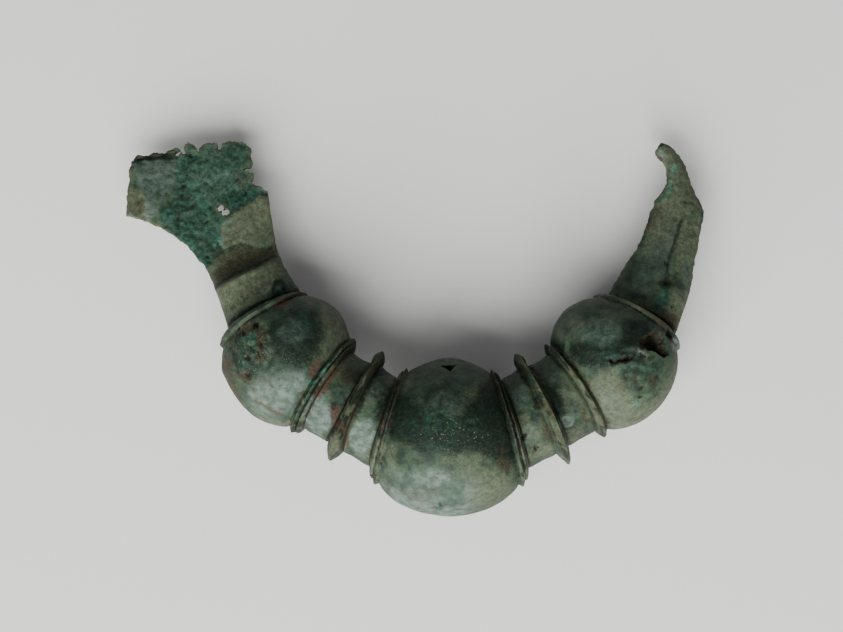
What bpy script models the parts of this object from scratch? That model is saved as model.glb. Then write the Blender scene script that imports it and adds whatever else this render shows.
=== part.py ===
"""Bow of a cast bronze fibula with three globular beads, broken at both ends.

The bow is turned straight, bent onto its arch, and joined with its two arms:
the broad stem that runs out into the torn catch plate, and the ridged arm that
narrows to a torn tongue. It lies on the undersides of its three beads.
"""

import math

import bmesh
import bpy
from mathutils import Matrix, Vector

MM = 0.001

# Arch of the bow and the places of its mouldings, measured along the arch from the middle.
ARCH_RADIUS = 39.8 * MM
MIDDLE_COLLAR_PLACE = 11.3 * MM
DISC_PLACE = 18.3 * MM
INNER_COLLAR_PLACE = 25.7 * MM
OUTER_COLLAR_PLACE = 43.4 * MM
SIDE_LEAN = math.radians(3.5)

# Radii of the beads, mouldings and necks.
MIDDLE_BEAD_RADIUS = 14.7 * MM
MIDDLE_BEAD_END_RADIUS = 10.6 * MM
MIDDLE_BEAD_OFFSET = 0.75 * MM
LEFT_NECK_OFFSET = -1.0 * MM
RIGHT_NECK_OFFSET = -0.55 * MM
LEFT_BEAD_OFFSET = -0.45 * MM
SIDE_BEAD_RADIUS = 12.6 * MM
SIDE_BEAD_END_RADIUS = 9.3 * MM
MIDDLE_COLLAR_RADIUS = 11.45 * MM
DISC_RADIUS = 11.5 * MM
INNER_COLLAR_RADIUS = 10.45 * MM
OUTER_COLLAR_RADIUS = 9.65 * MM
INNER_NECK_RADIUS = 8.8 * MM
OUTER_NECK_RADIUS = 8.5 * MM
NECK_WAIST = 0.25 * MM

# Widths of the mouldings at their feet.
COLLAR_WIDTH = 1.5 * MM
DISC_WIDTH = 1.8 * MM
RIM_ROUNDNESS = 0.55

# The stem and the torn catch plate.
CATCH_ARM_LENGTH = 40.0 * MM
STEM_THICKNESS = 11.4 * MM
PLATE_THICKNESS = 1.1 * MM

# The ridged arm and its torn tongue.
PIN_ARM_LENGTH = 33.5 * MM
PIN_ARM_THICKNESS = 9.6 * MM
TONGUE_THICKNESS = 1.7 * MM

ARM_ROOT_DEPTH = 3.0 * MM
ARM_ROOT_WIDTH_SHARE = 0.70
ARM_ROOT_HEIGHT_SHARE = 0.48

# Losses and holes.
CHAPLET_HOLE_SIDE = 1.75 * MM
CHAPLET_HOLE_DEPTH = 3.0 * MM
CHAPLET_HOLE_RISE = math.radians(38.5)
CHAPLET_HOLE_TURN = math.radians(-83.0)
BREAK_LENGTH = 7.2 * MM
BREAK_WIDTH = 4.6 * MM
BREAK_DEPTH = 2.4 * MM
BREAK_DIRECTION = (0.61, 0.085, 0.79)
BREAK_TURN = math.radians(-13.0)
BREAK_CORNER = math.radians(30.0)
BREAK_POINTS = 3
BREAK_RAGGEDNESS = 0.22

# How the brooch lies: each bead has a small flat where it rests.
REST_FLAT_DEPTH = 0.22 * MM

# The shoulder of the middle bead, where the bow's axis starts to draw in to the neck, as a share
# of the way to its collar, and the dished end of the bow under each arm's root.
SHOULDER_SHARE = 0.6
END_RADIUS_SHARE = 0.6
END_PLACE_SHARE = 0.9

# Fineness of the solid.
TURNING_STEPS = 34
MIDDLE_BEAD_STEPS = 8
SIDE_BEAD_STEPS = 11
CATCH_SIDES = 26
PIN_SIDES = 22
CATCH_RINGS = 27
PIN_RINGS = 24
TEAR_SIDES = 9
WELD_DISTANCE = 0.004 * MM
SHARP_ANGLE = math.radians(35.0)

# Sections of the catch arm, as shares of its length from the outer collar's centre: the outer
# edge (along, across), the inner edge (along, across), the thinning from stem to plate, and the
# fullness of the section, where 2 is an ellipse and more is squarer.
CATCH_SECTIONS = (
    (0.045, 0.155, 0.045, -0.223, 0.00, 2.2),
    (0.148, 0.138, 0.125, -0.214, 0.10, 2.3),
    (0.231, 0.128, 0.200, -0.210, 0.20, 2.4),
    (0.353, 0.121, 0.290, -0.220, 0.95, 3.6),
    (0.410, 0.135, 0.412, -0.257, 0.97, 4.0),
    (0.498, 0.155, 0.516, -0.293, 0.98, 4.0),
    (0.560, 0.178, 0.598, -0.283, 0.99, 4.0),
    (0.608, 0.207, 0.678, -0.293, 1.00, 4.0),
    (0.648, 0.240, 0.785, -0.336, 1.00, 4.0),
    (0.677, 0.264, 0.868, -0.220, 1.00, 4.0),
    (0.707, 0.291, 0.925, -0.100, 1.00, 4.0),
    (0.732, 0.316, 0.953, 0.040, 1.00, 4.0),
    (0.749, 0.339, 0.998, 0.203, 1.00, 4.0),
)

# Sections of the ridged arm in the same order, as shares of that arm's length; a fullness near
# 1.2 is a lozenge.
PIN_SECTIONS = (
    (0.045, 0.210, 0.055, -0.217, 0.00, 2.0),
    (0.181, 0.199, 0.110, -0.211, 0.15, 1.7),
    (0.304, 0.182, 0.225, -0.206, 0.28, 1.4),
    (0.445, 0.138, 0.330, -0.195, 0.42, 1.25),
    (0.561, 0.107, 0.425, -0.191, 0.54, 1.2),
    (0.645, 0.078, 0.525, -0.203, 0.64, 1.2),
    (0.733, 0.054, 0.604, -0.217, 0.72, 1.2),
    (0.783, 0.011, 0.681, -0.223, 0.79, 1.25),
    (0.815, -0.043, 0.760, -0.212, 0.85, 1.3),
    (0.864, -0.092, 0.822, -0.223, 0.91, 1.5),
    (0.917, -0.143, 0.872, -0.255, 0.96, 1.8),
    (0.966, -0.205, 0.899, -0.293, 1.00, 2.0),
    (1.004, -0.300, 0.918, -0.347, 1.00, 2.0),
    (0.996, -0.341, 0.956, -0.353, 1.00, 2.0),
)

# The crest of the ridged arm lies nearer its outer edge at the root than at the tongue.
CREST_SKEW_ROOT = 0.34
CREST_SKEW_TIP = 0.0

# Tears in the plate's edge: along, across and radius as shares of the arm's length.
PLATE_TEARS = (
    (0.696, -0.300, 0.0225),
    (0.879, -0.212, 0.0125),
    (0.912, -0.118, 0.0138),
    (0.938, -0.038, 0.0175),
)
PLATE_HOLE = (0.573, -0.077, 0.0155)

PATINA_COLOUR = (0.078, 0.120, 0.098, 1.0)
PATINA_ROUGHNESS = 0.62
PATINA_METALLIC = 0.35


def clear_scene():
    """Remove every object, so that the brooch stands alone."""
    for scene_object in list(bpy.data.objects):
        bpy.data.objects.remove(scene_object, do_unlink=True)


def new_collection(name):
    """Make a collection under the scene's own."""
    collection = bpy.data.collections.new(name)
    bpy.context.scene.collection.children.link(collection)
    return collection


def patina_material():
    """Green-brown patinated bronze."""
    material = bpy.data.materials.new("patinated_bronze")
    material.use_nodes = True
    shader = material.node_tree.nodes["Principled BSDF"]
    shader.inputs["Base Color"].default_value = PATINA_COLOUR
    shader.inputs["Roughness"].default_value = PATINA_ROUGHNESS
    shader.inputs["Metallic"].default_value = PATINA_METALLIC
    return material


def smooth_step(value, low, high):
    """Rise smoothly from 0 at low to 1 at high."""
    share = min(1.0, max(0.0, (value - low) / (high - low)))
    return share * share * (3.0 - 2.0 * share)


def signed_power(value, power):
    """Raise a value's size to a power and keep its sign."""
    return math.copysign(abs(value) ** power, value)


def bead_radius(place, half_length, radius, end_radius):
    """Radius of an ellipsoid bead, cut off where it meets its end radius."""
    axis_squared = half_length ** 2 / (1.0 - (end_radius / radius) ** 2)
    return radius * math.sqrt(1.0 - place ** 2 / axis_squared)


def ridge_points(centre, width, inner_foot, outer_foot, rim):
    """Profile of one moulding that stands up from its two feet to a rounded rim."""
    points = []
    for share in (-1.0, -0.72, -0.3, 0.3, 0.72, 1.0):
        foot = inner_foot if share < 0.0 else outer_foot
        height = (1.0 - share * share) ** RIM_ROUNDNESS
        points.append((centre + share * width / 2.0, foot + (rim - foot) * height))
    return points


def neck_point(start, end, radius):
    """Middle of a neck, a little narrower than its ends."""
    return ((start + end) / 2.0, radius - NECK_WAIST)


def half_profile():
    """Outline of half the straight bow, from its middle to beyond the outer collar."""
    collar_half = COLLAR_WIDTH / 2.0
    disc_half = DISC_WIDTH / 2.0
    bead_end = MIDDLE_COLLAR_PLACE - collar_half
    points = []
    for step in range(MIDDLE_BEAD_STEPS):
        place = bead_end * step / MIDDLE_BEAD_STEPS
        radius = bead_radius(place, bead_end, MIDDLE_BEAD_RADIUS, MIDDLE_BEAD_END_RADIUS)
        points.append((place, radius))
    points += ridge_points(
        MIDDLE_COLLAR_PLACE, COLLAR_WIDTH,
        MIDDLE_BEAD_END_RADIUS, INNER_NECK_RADIUS, MIDDLE_COLLAR_RADIUS,
    )
    start = MIDDLE_COLLAR_PLACE + collar_half
    points.append(neck_point(start, DISC_PLACE - disc_half, INNER_NECK_RADIUS))
    points += ridge_points(
        DISC_PLACE, DISC_WIDTH, INNER_NECK_RADIUS, OUTER_NECK_RADIUS, DISC_RADIUS
    )
    start = DISC_PLACE + disc_half
    points.append(neck_point(start, INNER_COLLAR_PLACE - collar_half, OUTER_NECK_RADIUS))
    points += ridge_points(
        INNER_COLLAR_PLACE, COLLAR_WIDTH,
        OUTER_NECK_RADIUS, SIDE_BEAD_END_RADIUS, INNER_COLLAR_RADIUS,
    )
    side_half = (OUTER_COLLAR_PLACE - INNER_COLLAR_PLACE - COLLAR_WIDTH) / 2.0
    for step in range(1, SIDE_BEAD_STEPS):
        offset = side_half * (2.0 * step / SIDE_BEAD_STEPS - 1.0)
        radius = bead_radius(offset, side_half, SIDE_BEAD_RADIUS, SIDE_BEAD_END_RADIUS)
        points.append((side_bead_place() + offset, radius))
    points += ridge_points(
        OUTER_COLLAR_PLACE, COLLAR_WIDTH,
        SIDE_BEAD_END_RADIUS, OUTER_NECK_RADIUS, OUTER_COLLAR_RADIUS,
    )
    end_edge = OUTER_COLLAR_PLACE + COLLAR_WIDTH * END_PLACE_SHARE
    points.append((end_edge, OUTER_NECK_RADIUS * END_RADIUS_SHARE))
    points.append((OUTER_COLLAR_PLACE + COLLAR_WIDTH, 0.0))
    return points


def bow_profile():
    """Whole outline of the straight bow, from its right end down to its left end."""
    right = half_profile()
    left = [(-place, radius) for place, radius in right[1:]]
    return list(reversed(right)) + left


def side_bead_place():
    """Middle of a side bead, along the arch."""
    return (INNER_COLLAR_PLACE + OUTER_COLLAR_PLACE) / 2.0


def arch_offset(place):
    """How far the bow's axis stands outside the arch circle, or inside it where negative."""
    reach = abs(place)
    neck = LEFT_NECK_OFFSET if place < 0.0 else RIGHT_NECK_OFFSET
    bead = LEFT_BEAD_OFFSET if place < 0.0 else 0.0
    to_neck = smooth_step(reach, MIDDLE_COLLAR_PLACE * SHOULDER_SHARE, DISC_PLACE)
    to_bead = smooth_step(reach, DISC_PLACE, side_bead_place())
    return MIDDLE_BEAD_OFFSET * (1.0 - to_neck) + neck * to_neck * (1.0 - to_bead) + bead * to_bead


def onto_arch(point):
    """Carry a point of the straight bow onto the arch, in the arch's own plane."""
    radial, depth, place = point
    lean = SIDE_LEAN * smooth_step(abs(place), DISC_PLACE, INNER_COLLAR_PLACE)
    reach = ARCH_RADIUS + radial + arch_offset(place)
    angle = place / ARCH_RADIUS - math.copysign(lean, place) * radial / ARCH_RADIUS
    return Vector((reach * math.sin(angle), -reach * math.cos(angle), -depth))


def turned_bow():
    """Turn the profile about its axis and bend the straight bow onto the arch."""
    mesh = bpy.data.meshes.new("bow_profile")
    corners = [(radius, 0.0, place) for place, radius in bow_profile()]
    edges = [(index, index + 1) for index in range(len(corners) - 1)]
    mesh.from_pydata(corners, edges, [])
    straight = bpy.data.objects.new("straight_bow", mesh)
    bpy.context.scene.collection.objects.link(straight)
    screw = straight.modifiers.new("turning", "SCREW")
    screw.axis = "Z"
    screw.steps = TURNING_STEPS
    screw.render_steps = TURNING_STEPS
    screw.use_merge_vertices = True
    screw.merge_threshold = WELD_DISTANCE
    evaluated = straight.evaluated_get(bpy.context.evaluated_depsgraph_get())
    turned = bpy.data.meshes.new_from_object(evaluated)
    bpy.data.objects.remove(straight, do_unlink=True)
    for vertex in turned.vertices:
        vertex.co = onto_arch(vertex.co)
    return turned


def outer_collar_frame(side):
    """Origin and directions at the outer collar: away from the bow, outwards and upwards."""
    angle = side * OUTER_COLLAR_PLACE / ARCH_RADIUS
    outwards = Vector((math.sin(angle), -math.cos(angle), 0.0))
    away = Vector((side * math.cos(angle), side * math.sin(angle), 0.0))
    return outwards * ARCH_RADIUS, away, outwards


def place_on_arm(side, along, across, height):
    """A point given from the outer collar's centre, in the arch's plane."""
    origin, away, outwards = outer_collar_frame(side)
    return origin + away * along + outwards * across + Vector((0.0, 0.0, height))


def spline(values, position):
    """Pass a smooth curve through a row of values."""
    last = len(values) - 1
    index = min(last - 1, int(position))
    share = position - index
    before = values[max(0, index - 1)]
    start = values[index]
    end = values[index + 1]
    after = values[min(last, index + 2)]
    bend = 3.0 * (start - end) + after - before
    pull = 2.0 * before - 5.0 * start + 4.0 * end - after
    return 0.5 * (2.0 * start + (end - before) * share + pull * share ** 2 + bend * share ** 3)


def eased(values, position):
    """Go from value to value without running past any of them."""
    index = min(len(values) - 2, int(position))
    share = smooth_step(position - index, 0.0, 1.0)
    return values[index] + (values[index + 1] - values[index]) * share


def section_ring(sides, outer, inner, half_height, fullness, skew):
    """One closed section of an arm as (along, across, height) points."""
    ring = []
    middle = ((outer[0] + inner[0]) / 2.0, (outer[1] + inner[1]) / 2.0)
    reach = ((outer[0] - inner[0]) / 2.0, (outer[1] - inner[1]) / 2.0)
    for side in range(sides):
        turn = 2.0 * math.pi * side / sides
        rise = signed_power(math.sin(turn), 2.0 / fullness)
        spread = signed_power(math.cos(turn), 2.0 / fullness) + skew * abs(rise)
        along = middle[0] + reach[0] * spread
        across = middle[1] + reach[1] * spread
        ring.append((along, across, half_height * rise))
    return ring


def arm_rings(sections, length, root_thickness, end_thickness, sides, rings, skews):
    """Sections of an arm from its root, hidden in the bead, to its torn end."""
    columns = [[section[column] for section in sections] for column in range(6)]
    root_reach = SIDE_BEAD_END_RADIUS * ARM_ROOT_WIDTH_SHARE
    root_rise = SIDE_BEAD_END_RADIUS * ARM_ROOT_HEIGHT_SHARE
    outer = (-ARM_ROOT_DEPTH, root_reach)
    inner = (-ARM_ROOT_DEPTH, -root_reach)
    loft = [section_ring(sides, outer, inner, root_rise, 2.0, 0.0)]
    for ring in range(rings):
        position = (len(sections) - 1) * ring / (rings - 1)
        edges = [spline(column, position) * length for column in columns[:4]]
        thinning = eased(columns[4], position)
        fullness = eased(columns[5], position)
        half_height = (root_thickness + (end_thickness - root_thickness) * thinning) / 2.0
        skew = skews[0] + (skews[1] - skews[0]) * thinning
        loft.append(section_ring(sides, edges[:2], edges[2:], half_height, fullness, skew))
    return loft


def lofted_arm(name, side, loft):
    """Join an arm's sections into one closed mesh in the arch's plane."""
    arm = bmesh.new()
    rings = [[arm.verts.new(place_on_arm(side, *point)) for point in ring] for ring in loft]
    count = len(loft[0])
    for near, far in zip(rings, rings[1:]):
        for corner in range(count):
            following = (corner + 1) % count
            arm.faces.new((near[corner], near[following], far[following], far[corner]))
    arm.faces.new(rings[0])
    arm.faces.new(rings[-1])
    bmesh.ops.recalc_face_normals(arm, faces=arm.faces)
    mesh = bpy.data.meshes.new(name)
    arm.to_mesh(mesh)
    arm.free()
    return mesh


def prism(name, sides, radius, depth, matrix):
    """An upright prism or cylinder, moved into place."""
    body = bmesh.new()
    bmesh.ops.create_cone(
        body, cap_ends=True, segments=sides, radius1=radius, radius2=radius, depth=depth
    )
    bmesh.ops.transform(body, matrix=matrix, verts=body.verts)
    mesh = bpy.data.meshes.new(name)
    body.to_mesh(mesh)
    body.free()
    return mesh


def plate_cutters():
    """The tears in the plate's edge and the hole through it."""
    meshes = []
    for number, shares in enumerate((*PLATE_TEARS, PLATE_HOLE)):
        along, across, radius = (share * CATCH_ARM_LENGTH for share in shares)
        centre = place_on_arm(-1, along, across, 0.0)
        turned = Matrix.Translation(centre) @ Matrix.Rotation(number, 4, "Z")
        depth = PLATE_THICKNESS * 4.0
        meshes.append(prism(f"plate_tear_{number}", TEAR_SIDES, radius, depth, turned))
    return meshes


def facing(direction):
    """Turn the upright axis to a direction."""
    return Vector(direction).to_track_quat("Z", "X").to_matrix().to_4x4()


def chaplet_cutter():
    """The small three-sided hole on the middle bead's inner shoulder."""
    direction = Vector((0.0, math.cos(CHAPLET_HOLE_RISE), math.sin(CHAPLET_HOLE_RISE)))
    bead_centre = Vector((0.0, -ARCH_RADIUS - MIDDLE_BEAD_OFFSET, 0.0))
    surface = bead_centre + direction * MIDDLE_BEAD_RADIUS
    turned = Matrix.Rotation(CHAPLET_HOLE_TURN, 4, "Z")
    matrix = Matrix.Translation(surface) @ facing(direction) @ turned
    return prism("chaplet_hole", 3, CHAPLET_HOLE_SIDE, CHAPLET_HOLE_DEPTH * 2.0, matrix)


def break_cutter():
    """The broken pocket in the right bead, beside its outer collar."""
    angle = side_bead_place() / ARCH_RADIUS
    bead_centre = Vector((math.sin(angle), -math.cos(angle), 0.0)) * ARCH_RADIUS
    direction = Vector(BREAK_DIRECTION).normalized()
    body = bmesh.new()
    bmesh.ops.create_icosphere(body, subdivisions=2, radius=1.0)
    for vertex in body.verts:
        turn = math.atan2(vertex.co.y, vertex.co.x)
        ragged = 1.0 + BREAK_RAGGEDNESS * math.sin(BREAK_POINTS * turn + BREAK_CORNER)
        vertex.co.x *= ragged * BREAK_LENGTH / 2.0
        vertex.co.y *= ragged * BREAK_WIDTH / 2.0
        vertex.co.z *= BREAK_DEPTH
    surface = bead_centre + direction * SIDE_BEAD_RADIUS
    matrix = Matrix.Translation(surface) @ facing(direction) @ Matrix.Rotation(BREAK_TURN, 4, "Z")
    bmesh.ops.transform(body, matrix=matrix, verts=body.verts)
    mesh = bpy.data.meshes.new("bead_break")
    body.to_mesh(mesh)
    body.free()
    return mesh


def resting_lean():
    """Lean of the arch's plane that brings all three beads down to one level."""
    side_angle = side_bead_place() / ARCH_RADIUS
    reach = ARCH_RADIUS * (1.0 - math.cos(side_angle)) + MIDDLE_BEAD_OFFSET
    return math.asin((MIDDLE_BEAD_RADIUS - SIDE_BEAD_RADIUS) / reach)


def rest_cutter(lean):
    """A block below the beads whose upper face cuts their resting flats."""
    bead_height = (ARCH_RADIUS + MIDDLE_BEAD_OFFSET) * math.sin(lean)
    top = bead_height - MIDDLE_BEAD_RADIUS + REST_FLAT_DEPTH
    side = 4.0 * (ARCH_RADIUS + MIDDLE_BEAD_RADIUS)
    body = bmesh.new()
    bmesh.ops.create_cube(body, size=side)
    bmesh.ops.translate(body, verts=body.verts, vec=(0.0, 0.0, top - side / 2.0))
    bmesh.ops.rotate(body, verts=body.verts, matrix=Matrix.Rotation(lean, 3, "X"))
    mesh = bpy.data.meshes.new("rest_flats")
    body.to_mesh(mesh)
    body.free()
    return mesh


def add_helper(mesh, collection, parent):
    """Place a cutter or a joined shape, which never shows by itself."""
    helper = bpy.data.objects.new(mesh.name, mesh)
    helper.hide_render = True
    helper.display_type = "WIRE"
    helper.parent = parent
    collection.objects.link(helper)
    return helper


def combine(target, helper, operation):
    """Join a shape to the brooch or cut it away."""
    boolean = target.modifiers.new(helper.name, "BOOLEAN")
    boolean.operation = operation
    boolean.object = helper


def stand_at_origin(brooch, stand):
    """Move the whole brooch so that its box stands on the ground, centred on the origin."""
    bpy.context.view_layer.update()
    evaluated = brooch.evaluated_get(bpy.context.evaluated_depsgraph_get())
    corners = [evaluated.matrix_world @ vertex.co for vertex in evaluated.data.vertices]
    lows = [min(corner[axis] for corner in corners) for axis in range(3)]
    highs = [max(corner[axis] for corner in corners) for axis in range(3)]
    stand.location = (-(lows[0] + highs[0]) / 2.0, -(lows[1] + highs[1]) / 2.0, -lows[2])


def main():
    clear_scene()
    brooch_collection = new_collection("fibula_brooch")
    cutter_collection = new_collection("cutters")
    stand = bpy.data.objects.new("brooch_stand", None)
    brooch_collection.objects.link(stand)
    lean = resting_lean()
    stand.rotation_euler = (-lean, 0.0, 0.0)

    bow = bpy.data.objects.new("fibula_bow", turned_bow())
    bow.parent = stand
    brooch_collection.objects.link(bow)
    bow.data.materials.clear()
    bow.data.materials.append(patina_material())

    catch_loft = arm_rings(
        CATCH_SECTIONS, CATCH_ARM_LENGTH, STEM_THICKNESS, PLATE_THICKNESS,
        CATCH_SIDES, CATCH_RINGS, (0.0, 0.0),
    )
    pin_loft = arm_rings(
        PIN_SECTIONS, PIN_ARM_LENGTH, PIN_ARM_THICKNESS, TONGUE_THICKNESS,
        PIN_SIDES, PIN_RINGS, (CREST_SKEW_ROOT, CREST_SKEW_TIP),
    )
    arms = [lofted_arm("catch_arm", -1, catch_loft), lofted_arm("pin_arm", 1, pin_loft)]
    for mesh in arms:
        combine(bow, add_helper(mesh, cutter_collection, stand), "UNION")
    cutters = [*plate_cutters(), chaplet_cutter(), break_cutter(), rest_cutter(lean)]
    for mesh in cutters:
        combine(bow, add_helper(mesh, cutter_collection, stand), "DIFFERENCE")
    weld = bow.modifiers.new("weld", "WELD")
    weld.merge_threshold = WELD_DISTANCE
    bow.data.shade_smooth()
    bow.data.set_sharp_from_angle(angle=SHARP_ANGLE)
    stand_at_origin(bow, stand)


main()
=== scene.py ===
"""Looks of a cast bronze bow fibula with three globular beads, broken at both ends.

The casting is modelled finely in the plane of its own arch, in millimetres. Its arms are
joined to it, its losses are cut, and it is laid down on its three beads. Then its surface is
worn and corroded point by point, and painted with the films and crusts of its patina, with
shade painted into its crevices and hollows and a painted highlight on its worn edges.
"""

import logging
import math
from dataclasses import dataclass, field
from enum import Enum

import bmesh
import bpy
import numpy as np
from mathutils import Matrix, Vector, noise


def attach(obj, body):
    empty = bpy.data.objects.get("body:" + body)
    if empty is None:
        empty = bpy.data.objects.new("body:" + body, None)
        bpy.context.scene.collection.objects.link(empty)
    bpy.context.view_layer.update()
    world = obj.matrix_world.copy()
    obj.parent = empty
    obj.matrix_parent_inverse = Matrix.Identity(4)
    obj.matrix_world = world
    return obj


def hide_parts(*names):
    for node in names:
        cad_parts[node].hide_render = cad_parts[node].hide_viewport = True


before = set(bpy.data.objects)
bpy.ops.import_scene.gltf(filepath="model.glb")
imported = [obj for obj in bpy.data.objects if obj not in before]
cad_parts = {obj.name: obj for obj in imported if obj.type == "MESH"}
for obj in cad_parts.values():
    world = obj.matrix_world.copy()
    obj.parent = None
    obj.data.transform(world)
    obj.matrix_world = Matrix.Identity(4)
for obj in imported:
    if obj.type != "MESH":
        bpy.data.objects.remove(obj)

LOG = logging.getLogger("fibula")
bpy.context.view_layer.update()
MM = 0.001
WELD = 0.0005
LACUNARITY = 2.1

# Settings that the nodes of the patina and the card share; a mix takes its colours at 6 and 7.
BLEND = {"data_type": "RGBA"}
EASED = {"interpolation_type": "SMOOTHSTEP"}
MULTIPLY = {"operation": "MULTIPLY"}
MULTIPLY_ADD = {"operation": "MULTIPLY_ADD"}
GRAINY = {"Roughness": 0.6}
TONE_RANGE = {"From Min": 0.35, "From Max": 0.65, "To Min": 0.0, "To Max": 1.0}


def smooth_step(value: np.ndarray, low: float, high: float) -> np.ndarray:
    """Rise smoothly from 0 at low to 1 at high."""
    share = np.clip((value - low) / (high - low), 0.0, 1.0)
    return share * share * (3.0 - 2.0 * share)


def lumps(points: np.ndarray, size: float, seed: int, octaves: int = 3) -> np.ndarray:
    """Read smooth random relief at points.

    Args:
        points: Positions, one a row, in millimetres.
        size: Width of a lump in millimetres.
        seed: Chooses another part of the noise.
        octaves: How many finer layers are added.

    Returns:
        One number a point, mostly from -1 to 1.
    """
    shift = np.array([17.31, 7.77, 3.19]) * seed
    places = (points / size + shift).tolist()
    return np.array([noise.fractal(place, 0.9, LACUNARITY, octaves) for place in places])


def lumpy(points: np.ndarray, height_and_size: tuple[float, float], seed: int) -> np.ndarray:
    """Random relief with lumps of a height and a width in millimetres."""
    return height_and_size[0] * lumps(points, height_and_size[1], seed)


def pits(points: np.ndarray, spacing: float, seed: int) -> np.ndarray:
    """Read round pits scattered in space.

    Args:
        points: Positions in millimetres.
        spacing: Distance between pits in millimetres.
        seed: Chooses another scatter.

    Returns:
        1 in the middle of a pit and 0 away from it.
    """
    shift = np.array([3.7, 11.9, 5.3]) * seed
    places = (points / spacing + shift).tolist()
    nearest = np.array([noise.voronoi(place)[0][0] for place in places])
    return 1.0 - smooth_step(nearest, 0.12, 0.38)


def linear_colour(hex_colour: str) -> tuple[float, float, float, float]:
    """Turn an sRGB hex colour into a linear one.

    Args:
        hex_colour: Six hex digits after a hash sign.

    Returns:
        Linear red, green and blue, and an alpha of 1.
    """
    parts = [int(hex_colour[index:index + 2], 16) / 255.0 for index in (1, 3, 5)]
    linear = [p / 12.92 if p <= 0.04045 else ((p + 0.055) / 1.055) ** 2.4 for p in parts]
    return (*linear, 1.0)


def vertex_rows(mesh: bpy.types.Mesh, kind: str = "co") -> np.ndarray:
    """Read a mesh's vertices or their normals.

    Args:
        mesh: The mesh.
        kind: "co" for the places and "normal" for the normals.

    Returns:
        An array with one vertex a row.
    """
    flat = np.empty(len(mesh.vertices) * 3, np.float32)
    mesh.vertices.foreach_get(kind, flat)
    return flat.reshape(-1, 3).astype(float)


def set_points(mesh: bpy.types.Mesh, points: np.ndarray) -> None:
    """Move a mesh's vertices to the rows of an array."""
    mesh.vertices.foreach_set("co", points.astype(np.float32).ravel())
    mesh.update()


def to_mesh(shape: bmesh.types.BMesh, name: str) -> bpy.types.Mesh:
    """Turn a bmesh into a mesh and free it.

    Args:
        shape: The bmesh.
        name: The mesh's name.

    Returns:
        The new mesh.
    """
    mesh = bpy.data.meshes.new(name)
    shape.to_mesh(mesh)
    shape.free()
    return mesh


def add_object(name: str, data: bpy.types.ID) -> bpy.types.Object:
    """Put an object with its data into the scene.

    Args:
        name: The object's name.
        data: Its mesh, light or camera.

    Returns:
        The object.
    """
    made = bpy.data.objects.new(name, data)
    bpy.context.scene.collection.objects.link(made)
    return made


@dataclass(frozen=True)
class Arch:
    """The bow's arch in its own plane, and how that plane lies on the ground (millimetres)."""

    radius: float = 39.8
    shoulder_place: float = 6.78
    disc_place: float = 18.3
    inner_collar_place: float = 25.7
    outer_collar_place: float = 43.4
    side_lean: float = math.radians(3.5)
    middle_bead_offset: float = 0.75
    left_neck_offset: float = -1.0
    right_neck_offset: float = -0.55
    left_bead_offset: float = -0.45
    resting_lean: float = math.radians(8.142)
    stand: tuple[float, float, float] = (6.470, 19.238, 8.737)

    @property
    def side_bead_place(self) -> float:
        """Middle of a side bead along the arch."""
        return (self.inner_collar_place + self.outer_collar_place) / 2.0

    def offset(self, place: np.ndarray) -> np.ndarray:
        """Tell how far the bow's axis stands outside the arch circle.

        Args:
            place: Distances along the arch from its middle.

        Returns:
            Offsets, negative where the axis lies inside the circle.
        """
        reach = np.abs(place)
        neck = np.where(place < 0.0, self.left_neck_offset, self.right_neck_offset)
        bead = np.where(place < 0.0, self.left_bead_offset, 0.0)
        to_neck = smooth_step(reach, self.shoulder_place, self.disc_place)
        to_bead = smooth_step(reach, self.disc_place, self.side_bead_place)
        middle = self.middle_bead_offset * (1.0 - to_neck)
        return middle + neck * to_neck * (1.0 - to_bead) + bead * to_bead

    def lean(self, place: np.ndarray) -> np.ndarray:
        """Tell how far the mouldings of the sides lean back, with their side's sign."""
        reach = smooth_step(np.abs(place), self.disc_place, self.inner_collar_place)
        return np.sign(place) * self.side_lean * reach

    def bend(self, straight: np.ndarray) -> np.ndarray:
        """Carry points of the straight bow onto the arch.

        Args:
            straight: Rows of radial, depth and place.

        Returns:
            Rows in the arch's plane.
        """
        radial, depth, place = straight.T
        reach = self.radius + radial + self.offset(place)
        angle = place / self.radius - self.lean(place) * radial / self.radius
        return np.stack([reach * np.sin(angle), -reach * np.cos(angle), -depth], axis=1)

    def unbend(self, points: np.ndarray) -> tuple[np.ndarray, np.ndarray]:
        """Find where points in the arch's plane lie on the straight bow.

        Args:
            points: Rows in the arch's plane.

        Returns:
            Places along the bow, and distances from its axis.
        """
        x, y, z = points.T
        place = np.arctan2(x, -y) * self.radius
        radial = np.hypot(x, y) - self.radius - self.offset(place)
        place = place + self.lean(place) * radial
        radial = np.hypot(x, y) - self.radius - self.offset(place)
        return place, np.hypot(radial, z)

    def arm_points(self, side: int, local: np.ndarray) -> np.ndarray:
        """Place points of an arm in the arch's plane.

        Args:
            side: -1 for the left arm and 1 for the right one.
            local: Rows of along, across and height from the outer collar's centre.

        Returns:
            Rows in the arch's plane.
        """
        angle = side * self.outer_collar_place / self.radius
        outwards = np.array([math.sin(angle), -math.cos(angle), 0.0])
        away = side * np.array([math.cos(angle), math.sin(angle), 0.0])
        upwards = np.array([0.0, 0.0, 1.0])
        along, across, height = local.T
        start = outwards * self.radius
        return start + np.outer(along, away) + np.outer(across, outwards) + np.outer(height, upwards)

    def laid_down(self) -> Matrix:
        """The turn and shift that lay the arch's plane down on its beads."""
        return Matrix.Translation(self.stand) @ Matrix.Rotation(-self.resting_lean, 4, "X")


@dataclass(frozen=True)
class Crest:
    """One crest along a ring's back: where it stands, its share of the height, and its flanks."""

    at: float
    height: float
    reach: float
    power: float


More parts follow.
